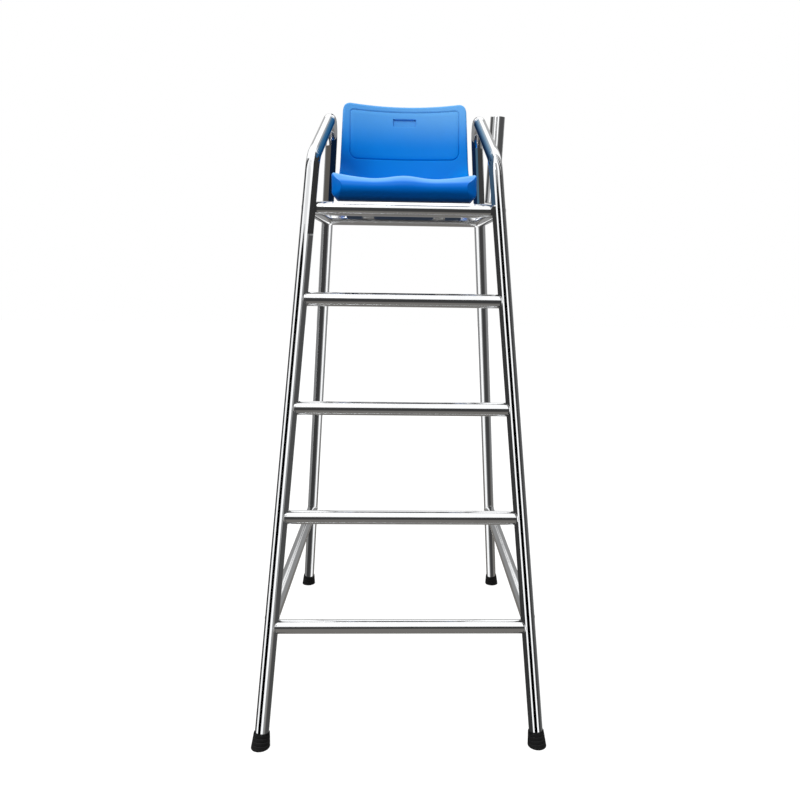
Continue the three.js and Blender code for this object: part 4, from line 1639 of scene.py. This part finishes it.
@dataclass
class ParasolSocket:
    """The open tube for a parasol pole, its base and the stub that ties it to the frame."""

    sizes: ChairSizes
    workshop: Workshop
    frame_tubes: TubeFrame
    diameter: float = 48.0 * MM
    wall: float = 2.0 * MM
    length: float = 279.0 * MM
    rise: float = 62.0 * MM
    splay_degrees: float = 2.3
    base_thickness: float = 3.0 * MM
    drain_diameter: float = 8.0 * MM
    stub_diameter: float = 25.0 * MM
    stub_bend_share: float = 0.2
    lip: float = 0.6 * MM

    def build(self) -> None:
        """Makes the socket's pieces and their welds."""
        steel = PolishedSteel(Grain.UPRIGHT).material()
        axis = self.axis()
        self._tube(axis, steel)
        self._base(axis, steel)
        self._stub(axis, steel)

    def axis(self) -> Line:
        """The socket's axis, from its foot to its mouth."""
        side = Side.LEFT
        height = self.sizes.seat_rail_height + self.rise
        leg = self.sizes.leg_point(side, End.REAR, height)
        stretch = 1.0 / self.sizes.leg(side, End.REAR).direction[2]
        stand_off = (self.sizes.tube_radius + self.diameter / 2.0) * stretch + self.sizes.gap
        bottom = np.array([leg[0] + side.value * stand_off, leg[1], height])
        lean = side.value * math.tan(math.radians(self.splay_degrees)) * self.length
        return Line(bottom, bottom + np.array([lean, 0.0, self.length]), self.diameter / 2.0)

    def _tube(self, axis: Line, material: bpy.types.Material) -> None:
        """The open tube, its mouth eased and its wall whole.

        Args:
            axis: The socket's axis.
            material: Its finish.
        """
        length = axis.length
        outer, inner, lip = self.diameter / 2.0, self.diameter / 2.0 - self.wall, self.lip
        profile = [(inner, 0.0), (outer, 0.0)]
        for angle in np.linspace(0.0, math.pi / 2.0, self.workshop.rim_steps):
            profile.append((outer - lip * (1.0 - math.cos(angle)), length - lip * (1.0 - math.sin(angle))))
        for angle in np.linspace(math.pi / 2.0, 0.0, self.workshop.rim_steps):
            profile.append((inner + lip * (1.0 - math.cos(angle)), length - lip * (1.0 - math.sin(angle))))
        draft = Draft()
        self.workshop.lathe(draft, profile, axis.start, axis.direction)
        install(draft.piece("parasol_socket_tube", material), Slot.STEEL, "parasol_socket")

    def _base(self, axis: Line, material: bpy.types.Material) -> None:
        """The disc at the socket's foot, with its drain hole.

        Args:
            axis: The socket's axis.
            material: Its finish.
        """
        radius = self.diameter / 2.0 - self.wall - self.sizes.gap
        drain = self.drain_diameter / 2.0
        profile = [(drain, 0.0), (radius, 0.0), (radius, self.base_thickness), (drain, self.base_thickness)]
        draft = Draft()
        self.workshop.lathe(draft, profile, axis.start, axis.direction)
        install(draft.piece("parasol_socket_base_disc", material), Slot.STEEL, "parasol_socket_base")

    def _stub(self, axis: Line, material: bpy.types.Material) -> None:
        """The stub between the side frame's rear bend and the socket, with its welds.

        Args:
            axis: The socket's axis.
            material: Its finish.
        """
        stations = self.frame_tubes.side_stations(Side.LEFT)
        steps = self.workshop.bend_steps
        bend = stations[-2 - steps : -1]
        at = round((1.0 - self.stub_bend_share) * steps)
        on_frame, tangent = bend[at]
        share = (on_frame[2] - axis.start[2]) / (axis.end[2] - axis.start[2])
        line = Line(on_frame, axis.at(share), self.stub_diameter / 2.0)
        reach = tangent * self.diameter
        frame_run = Line(on_frame - reach, on_frame + reach, self.sizes.tube_radius)
        draft = Draft()
        self.workshop.fitted_tube(draft, line, [frame_run], [axis])
        install(draft.piece("parasol_socket_stub_tube", material), Slot.STEEL, "parasol_socket_stub")
        welds = Draft()
        self.workshop.weld_ends(welds, line, [frame_run], [axis])
        sharp = self.workshop.bead_sharp_degrees
        install(welds.piece("parasol_socket_welds", WeldSteel().material(), sharp), Slot.STEEL)


class Post(Enum):
    """Tubes that have reflectors of their own, by side and end.

    A leg has both, an armrest has only a side, and the socket has neither.
    """

    RIGHT_FRONT = (Side.RIGHT, End.FRONT)
    LEFT_FRONT = (Side.LEFT, End.FRONT)
    RIGHT_REAR = (Side.RIGHT, End.REAR)
    LEFT_REAR = (Side.LEFT, End.REAR)
    RIGHT_ARM = (Side.RIGHT, None)
    LEFT_ARM = (Side.LEFT, None)
    SOCKET = (None, None)


# Shares of a rear leg's length just below and just above the place where what it mirrors changes.
REAR_SPLIT_LOW = 0.912
REAR_SPLIT_HIGH = 0.914


@dataclass(frozen=True)
class Strip:
    """A narrow reflector along a tube.

    Its azimuth is counted towards the sitter's left, from the front of an upright tube or the top of an
    armrest. It runs between two shares of the tube's length and may stand further off the tube than others.
    A pointed strip narrows at its high end, and on an armrest at both ends.
    """

    azimuth_degrees: float
    half_width_degrees: float
    brightness: float
    # A bluish hue paints the blue seat's reflection onto the tube.
    hue: tuple[float, float, float] = (1.0, 1.0, 1.0)
    low_share: float = 0.0
    high_share: float = 1.0
    pointed: bool = False
    further: float = 0.0


@dataclass
class Studio:
    """A plain pale floor, soft light from above, and reflectors along the tubes that the tubes mirror.

    A rise is given as the values at which it starts and ends.
    """

    sizes: ChairSizes
    socket_axis: Line
    sky: float = 1.25
    sky_rise: Span = (0.31, 0.43)
    front_dark: float = 0.05
    behind_grey: float = 0.3
    left_side_rise: Span = (0.75, 1.05)
    behind_rise: Span = (0.05, 0.45)
    white_way: Span = (-0.92, -0.39)
    white_rise: Span = (0.80, 0.90)
    white: float = 1.2
    fill_high: float = 1.55
    fill_low: float = 0.03
    fill_rise: Span = (0.15, 0.85)
    fill_tilt: float = 0.12
    floor_reach: float = 14.0
    floor_glow: float = 0.86
    floor_shade: float = 0.25
    floor_dark: float = 0.03
    floor_haze: float = 0.4
    haze_rise: Span = (2.5, 5.0)
    mirrored_floor: tuple[float, float, float] = (0.205, 0.195, 0.182)
    mirrored_floor_rise: Span = (1.5, 3.2)
    mirrored_floor_stretch: tuple[float, float, float] = (1.9, 1.0, 1.0)
    rail_white: tuple[float, float, float] = (1.7, 1.7, 1.7)
    rail_dark: tuple[float, float, float] = (0.03, 0.04, 0.06)
    rail_dark_reach: float = 120.0 * MM
    rail_dark_setback_share: float = 0.85
    rail_length_share: float = 0.94
    strip_gap: float = 3.0 * MM
    strip_columns: int = 9
    point_share: float = 0.06
    point_width_share: float = 0.05
    arm_low_share: float = 0.06
    arm_high_share: float = 0.80
    key_place: tuple[float, float, float] = (-0.9, -1.8, 3.4)
    key_target: tuple[float, float, float] = (0.0, 0.1, 1.6)
    key_size: Span = (1.6, 0.8)
    key_watts: float = 26.0
    # Bluish strips paint the blue seat's reflection into the legs and armrests.
    strips: tuple[tuple[Post, tuple[Strip, ...]], ...] = (
        (Post.RIGHT_FRONT, (
            Strip(-64.0, 15.0, 0.06),
            Strip(-39.5, 9.5, 1.2),
            Strip(-16.5, 13.5, 0.0, high_share=0.885, pointed=True),
            Strip(6.0, 9.0, 1.25),
            Strip(22.0, 6.5, 0.33, high_share=0.87),
            Strip(66.0, 28.0, 0.08, high_share=0.865),
            Strip(62.0, 46.0, 0.035, low_share=0.868, high_share=1.05, pointed=True),
            Strip(-18.0, 22.0, 0.9, low_share=0.76, further=2.0 * MM),
        )),
        (Post.LEFT_FRONT, (
            Strip(-72.0, 39.0, 0.04, high_share=0.92),
            Strip(-72.0, 39.0, 0.17, hue=(0.3, 0.6, 1.0), low_share=0.922, high_share=1.05),
            Strip(-25.5, 7.0, 1.25),
            Strip(-5.0, 13.5, 0.0, high_share=0.975, pointed=True),
            Strip(15.5, 7.0, 1.3),
            Strip(33.5, 11.0, 0.055, high_share=1.03, pointed=True),
            Strip(58.0, 13.0, 0.11, high_share=1.05, pointed=True),
            Strip(84.0, 12.5, 0.33, high_share=1.07, pointed=True),
            Strip(-3.5, 12.5, 0.4, low_share=0.89, further=2.0 * MM),
        )),
        (Post.RIGHT_REAR, (
            Strip(-48.0, 14.0, 0.24, high_share=REAR_SPLIT_LOW),
            Strip(-9.0, 24.0, 0.05, high_share=REAR_SPLIT_LOW),
            Strip(21.0, 6.0, 0.2, high_share=REAR_SPLIT_LOW),
            Strip(41.0, 13.0, 1.2, high_share=REAR_SPLIT_LOW),
            Strip(-28.0, 32.0, 0.12, hue=(1.0, 0.93, 0.84), low_share=REAR_SPLIT_HIGH, high_share=1.06),
            Strip(48.0, 44.0, 0.035, hue=(0.1, 0.35, 1.0), low_share=REAR_SPLIT_HIGH, high_share=1.14),
        )),
        (Post.LEFT_REAR, (
            Strip(-38.5, 15.5, 1.2, high_share=REAR_SPLIT_LOW),
            Strip(-17.0, 5.5, 0.26, high_share=REAR_SPLIT_LOW),
            Strip(7.0, 18.5, 0.06, high_share=REAR_SPLIT_LOW),
            Strip(-60.0, 34.0, 0.06, hue=(0.08, 0.3, 1.0), low_share=REAR_SPLIT_HIGH, high_share=1.14),
            Strip(-14.0, 12.0, 0.24, hue=(0.3, 0.65, 1.0), low_share=REAR_SPLIT_HIGH, high_share=1.06),
            Strip(32.0, 34.0, 0.05, low_share=REAR_SPLIT_HIGH, high_share=1.06),
        )),
        (Post.SOCKET, (
            Strip(-65.0, 14.0, 0.08),
            Strip(-41.0, 10.0, 0.5),
            Strip(-26.5, 5.0, 1.35),
            Strip(-13.5, 8.0, 0.4),
            Strip(1.0, 5.0, 1.35),
            Strip(10.5, 4.5, 0.2),
            Strip(42.0, 27.0, 0.09),
        )),
        (Post.RIGHT_ARM, (
            Strip(-62.0, 32.0, 0.5, pointed=True),
            Strip(27.0, 7.0, 0.45, hue=(0.9, 0.95, 1.0), low_share=-0.06, pointed=True),
            Strip(41.0, 7.0, 0.34, hue=(0.3, 0.62, 1.0), low_share=-0.12, pointed=True),
            Strip(55.0, 7.0, 0.30, hue=(0.1, 0.46, 1.0), low_share=-0.16, pointed=True),
            Strip(69.0, 7.0, 0.28, hue=(0.08, 0.42, 1.0), low_share=-0.2, pointed=True),
            Strip(96.0, 20.0, 0.16, hue=(0.03, 0.34, 1.0), low_share=-0.24),
        )),
        (Post.LEFT_ARM, (
            Strip(54.0, 36.0, 0.5, pointed=True),
            Strip(-25.0, 7.0, 0.6, hue=(0.7, 0.85, 1.0), low_share=-0.06, pointed=True),
            Strip(-39.0, 7.0, 0.48, hue=(0.42, 0.7, 1.0), low_share=-0.12, pointed=True),
            Strip(-53.0, 7.0, 0.32, hue=(0.28, 0.58, 1.0), low_share=-0.16, pointed=True),
            Strip(-67.0, 7.0, 0.16, hue=(0.2, 0.5, 1.0), low_share=-0.2, pointed=True),
            Strip(-94.0, 20.0, 0.06, hue=(0.08, 0.36, 1.0), low_share=-0.24),
        )),
    )

    def build(self) -> None:
        """Sets the stage."""
        self._world()
        self._floor()
        every = [(post, strip) for post, strips in self.strips for strip in strips]
        for number, (post, strip) in enumerate(every):
            self._strip(f"reflector_{number}", post, strip)
        # A white card under the seat paints a highlight along the front rail's top, and a dark card paints a
        # dark reflection along the rear rail's top.
        rail = self.sizes.cross_rail_reach
        self._rail_card(End.FRONT, rail, self.sizes.seat_frame_depth / 2.0, self.rail_white)
        rear_edge = rail - self.sizes.tube_radius * self.rail_dark_setback_share
        self._rail_card(End.REAR, rear_edge - self.rail_dark_reach, rear_edge, self.rail_dark)
        self._key_lamp()

    def _world(self) -> None:
        """White to the camera, a bright-ceilinged room to mirrored rays, and light from above to the rest."""
        world = bpy.data.worlds.new("studio")
        bpy.context.scene.world = world
        world.use_nodes = True
        book = ShaderBook(world.node_tree)
        way = book.node("ShaderNodeTexCoord", output="Generated")
        across, along, height = (book.part(way, axis) for axis in "XYZ")
        leftward = across * self.white_way[0] + along * self.white_way[1]
        room = self._backdrop(book, self.front_dark)
        for share, grey in (
            (across.ramped(*self.left_side_rise), self.behind_grey),
            (along.ramped(*self.behind_rise), self.behind_grey),
            (leftward.ramped(*self.white_rise), self.white),
            (height.ramped(*self.sky_rise), self.sky),
        ):
            room = book.mixed(share, room, self._backdrop(book, grey))
        above = (height - across * self.fill_tilt).ramped(*self.fill_rise)
        fill = book.mixed(above, self._backdrop(book, self.fill_low), self._backdrop(book, self.fill_high))
        lit = book.mixed(book.ray("Glossy"), fill, room)
        whole = book.mixed(book.ray("Camera"), lit, self._backdrop(book, 1.0))
        book.node("ShaderNodeOutputWorld", None, {"Surface": whole})

    @staticmethod
    def _backdrop(book: ShaderBook, grey: float) -> Reading:
        """A background of one grey."""
        return book.plain("ShaderNodeBackground", [grey] * 3)

    def _floor(self) -> None:
        """A plain floor.

        It is white to the camera. Mirrored rays meet a warm grey near the chair and pass through beyond it.
        Other rays meet a dark floor near the chair and haze far away.
        """
        reach = self.floor_reach
        corners = [(-reach, -reach, 0.0), (reach, -reach, 0.0), (reach, reach, 0.0), (-reach, reach, 0.0)]
        mesh = bpy.data.meshes.new("floor")
        mesh.from_pydata(corners, [], [(0, 1, 2, 3)])
        material, book = blank_material("floor_pale")
        glow = book.plain("ShaderNodeEmission", [self.floor_glow] * 3)
        shaded = book.plain("ShaderNodeBsdfDiffuse", [self.floor_shade] * 3)
        pale = book.node("ShaderNodeAddShader", None, {0: glow, 1: shaded})
        stretched = {"Vector": book.place(), "Scale": self.mirrored_floor_stretch}
        spread = book.node("ShaderNodeMapping", None, stretched)
        away = book.node("ShaderNodeVectorMath", {"operation": "LENGTH"}, {0: spread}, "Value")
        grey = book.plain("ShaderNodeEmission", self.mirrored_floor)
        beyond = book.plain("ShaderNodeBsdfTransparent", [1.0] * 3)
        mirrored = book.mixed(away.ramped(*self.mirrored_floor_rise), grey, beyond)
        dark = book.plain("ShaderNodeBsdfDiffuse", [self.floor_dark] * 3)
        haze = book.plain("ShaderNodeEmission", [self.floor_haze] * 3)
        unlit = book.mixed(away.ramped(*self.haze_rise), dark, haze)
        unseen = book.mixed(book.ray("Glossy"), unlit, mirrored)
        book.node("ShaderNodeOutputMaterial", None, {"Surface": book.mixed(book.ray("Camera"), unseen, pale)})
        mesh.materials.append(material)
        place_object("floor", mesh)

    def _tube(self, post: Post) -> Line:
        """The tube that a post stands for.

        Args:
            post: The post.

        Returns:
            The tube's axis, on an armrest its middle part.
        """
        side, end = post.value
        if side is None:
            return self.socket_axis
        if end is not None:
            return self.sizes.leg(side, end)
        arm = self.sizes.arm(side)
        return Line(arm.at(self.arm_low_share), arm.at(self.arm_high_share), arm.radius)

    def _strip(self, name: str, post: Post, strip: Strip) -> None:
        """One reflector beside its tube.

        Args:
            name: Its name.
            post: The tube.
            strip: Where it lies and how bright it is.
        """
        tube = self._tube(post)
        on_arm = post in (Post.RIGHT_ARM, Post.LEFT_ARM)
        onward = FORWARD
        if on_arm:
            onward = unit(np.cross(TOWARDS_LEFT, tube.direction))
            onward = onward * math.copysign(1.0, onward[2])
        low, high = strip.low_share, strip.high_share
        levels = [(low, 1.0), (high, 1.0)]
        if strip.pointed:
            levels[1:] = [(high - self.point_share, 1.0), (high, self.point_width_share)]
        if strip.pointed and on_arm:
            levels[:1] = [(low, self.point_width_share), (low + 2.0 * self.point_share, 1.0)]
        distance = tube.radius + self.strip_gap + strip.further
        middle = math.radians(strip.azimuth_degrees)
        half = math.radians(strip.half_width_degrees)
        rows = []
        for share in np.linspace(-1.0, 1.0, self.strip_columns):
            row = []
            for along, width in levels:
                angle = middle + half * share * width
                way = math.sin(angle) * TOWARDS_LEFT + math.cos(angle) * onward
                row.append(tube.at(along) + way * distance)
            rows.append(np.stack(row))
        self._card(name, np.stack(rows), [strip.brightness * part for part in strip.hue])

    def _rail_card(self, end: End, nearest: float, furthest: float, tone: Sequence[float]) -> None:
        """A thin reflector level with the seat's underside, which a cross rail mirrors.

        Args:
            end: The end of the chair that the rail is at.
            nearest: Its edge nearer to the chair's middle.
            furthest: Its edge further from the middle.
            tone: Its red, green and blue.
        """
        reach = self.sizes.seat_width / 2.0 * self.rail_length_share
        height = self.sizes.seat_underside - self.sizes.gap / 2.0
        corners = [[(x, y * end.value, height) for y in (nearest, furthest)] for x in (-reach, reach)]
        self._card(f"reflector_{end.name.lower()}_rail", np.array(corners), tone)

    def _card(self, name: str, rows: np.ndarray, tone: Sequence[float]) -> None:
        """A reflector that only mirrored rays see.

        Args:
            name: Its name.
            rows: Its points in rows and columns.
            tone: Its red, green and blue.
        """
        draft = Draft()
        draft.add_quads(draft.add_points(rows))
        material, book = blank_material(name)
        book.node("ShaderNodeOutputMaterial", None, {"Surface": book.plain("ShaderNodeEmission", tone)})
        card = draft.piece(name, material)
        for kind in ("camera", "diffuse", "transmission", "volume_scatter", "shadow"):
            setattr(card, f"visible_{kind}", False)

    def _key_lamp(self) -> None:
        """A soft oblong lamp, out of the camera's sight."""
        data = bpy.data.lights.new("key_softbox", "AREA")
        data.shape = "RECTANGLE"
        data.size, data.size_y = self.key_size
        data.energy = self.key_watts
        lamp = place_object("key_softbox", data)
        lamp.location = self.key_place
        lamp.rotation_mode = "QUATERNION"
        lamp.rotation_quaternion = (Vector(self.key_target) - Vector(self.key_place)).to_track_quat("-Z", "Y")
        lamp.visible_camera = False


@dataclass(frozen=True)
class PhotoView:
    """The camera at the photograph's place, worked out from the chair's own perspective."""

    place: tuple[float, float, float] = (-0.004223, -2.348584, 1.285449)
    pitch_degrees: float = 10.195
    yaw_degrees: float = 1.916
    roll_degrees: float = 0.836
    focal_pixels: float = 740.376
    centre_offset_pixels: float = 25.357
    image_pixels: float = 800.0
    sensor: float = 36.0

    def build(self) -> None:
        """Makes the camera."""
        turns = (self.pitch_degrees, self.yaw_degrees, self.roll_degrees)
        pitch, yaw, roll = (math.radians(turn) for turn in turns)
        ahead = Vector((math.sin(yaw) * math.cos(pitch), math.cos(yaw) * math.cos(pitch), -math.sin(pitch)))
        level = Vector((math.cos(yaw), -math.sin(yaw), 0.0))
        above = level.cross(ahead)
        right = level * math.cos(roll) + above * math.sin(roll)
        up = above * math.cos(roll) - level * math.sin(roll)
        data = bpy.data.cameras.new("photo_camera")
        data.sensor_width = self.sensor
        data.lens = self.focal_pixels / self.image_pixels * self.sensor
        data.shift_x = -self.centre_offset_pixels / self.image_pixels
        camera = place_object("photo_camera", data)
        turned = Matrix((right, up, -ahead)).transposed().to_4x4()
        camera.matrix_world = Matrix.Translation(self.place) @ turned
        bpy.context.scene.camera = camera


def main() -> None:
    """Builds the chair's sub-assemblies in order, then the studio and the camera."""
    logging.basicConfig(level=logging.INFO, format="%(message)s")
    sizes = ChairSizes()
    workshop = Workshop()
    tubes = TubeFrame(sizes, workshop)
    socket = ParasolSocket(sizes, workshop, tubes)
    parts = (
        tubes,
        RubberFeet(sizes, workshop),
        MouldedSeat(sizes, workshop),
        SeatFasteners(sizes, workshop),
        socket,
        Studio(sizes, socket.axis()),
        PhotoView(),
    )
    for part in parts:
        part.build()
    bpy.context.scene.view_settings.view_transform = "Standard"
    bpy.context.view_layer.update()


if __name__ == "__main__":
    main()
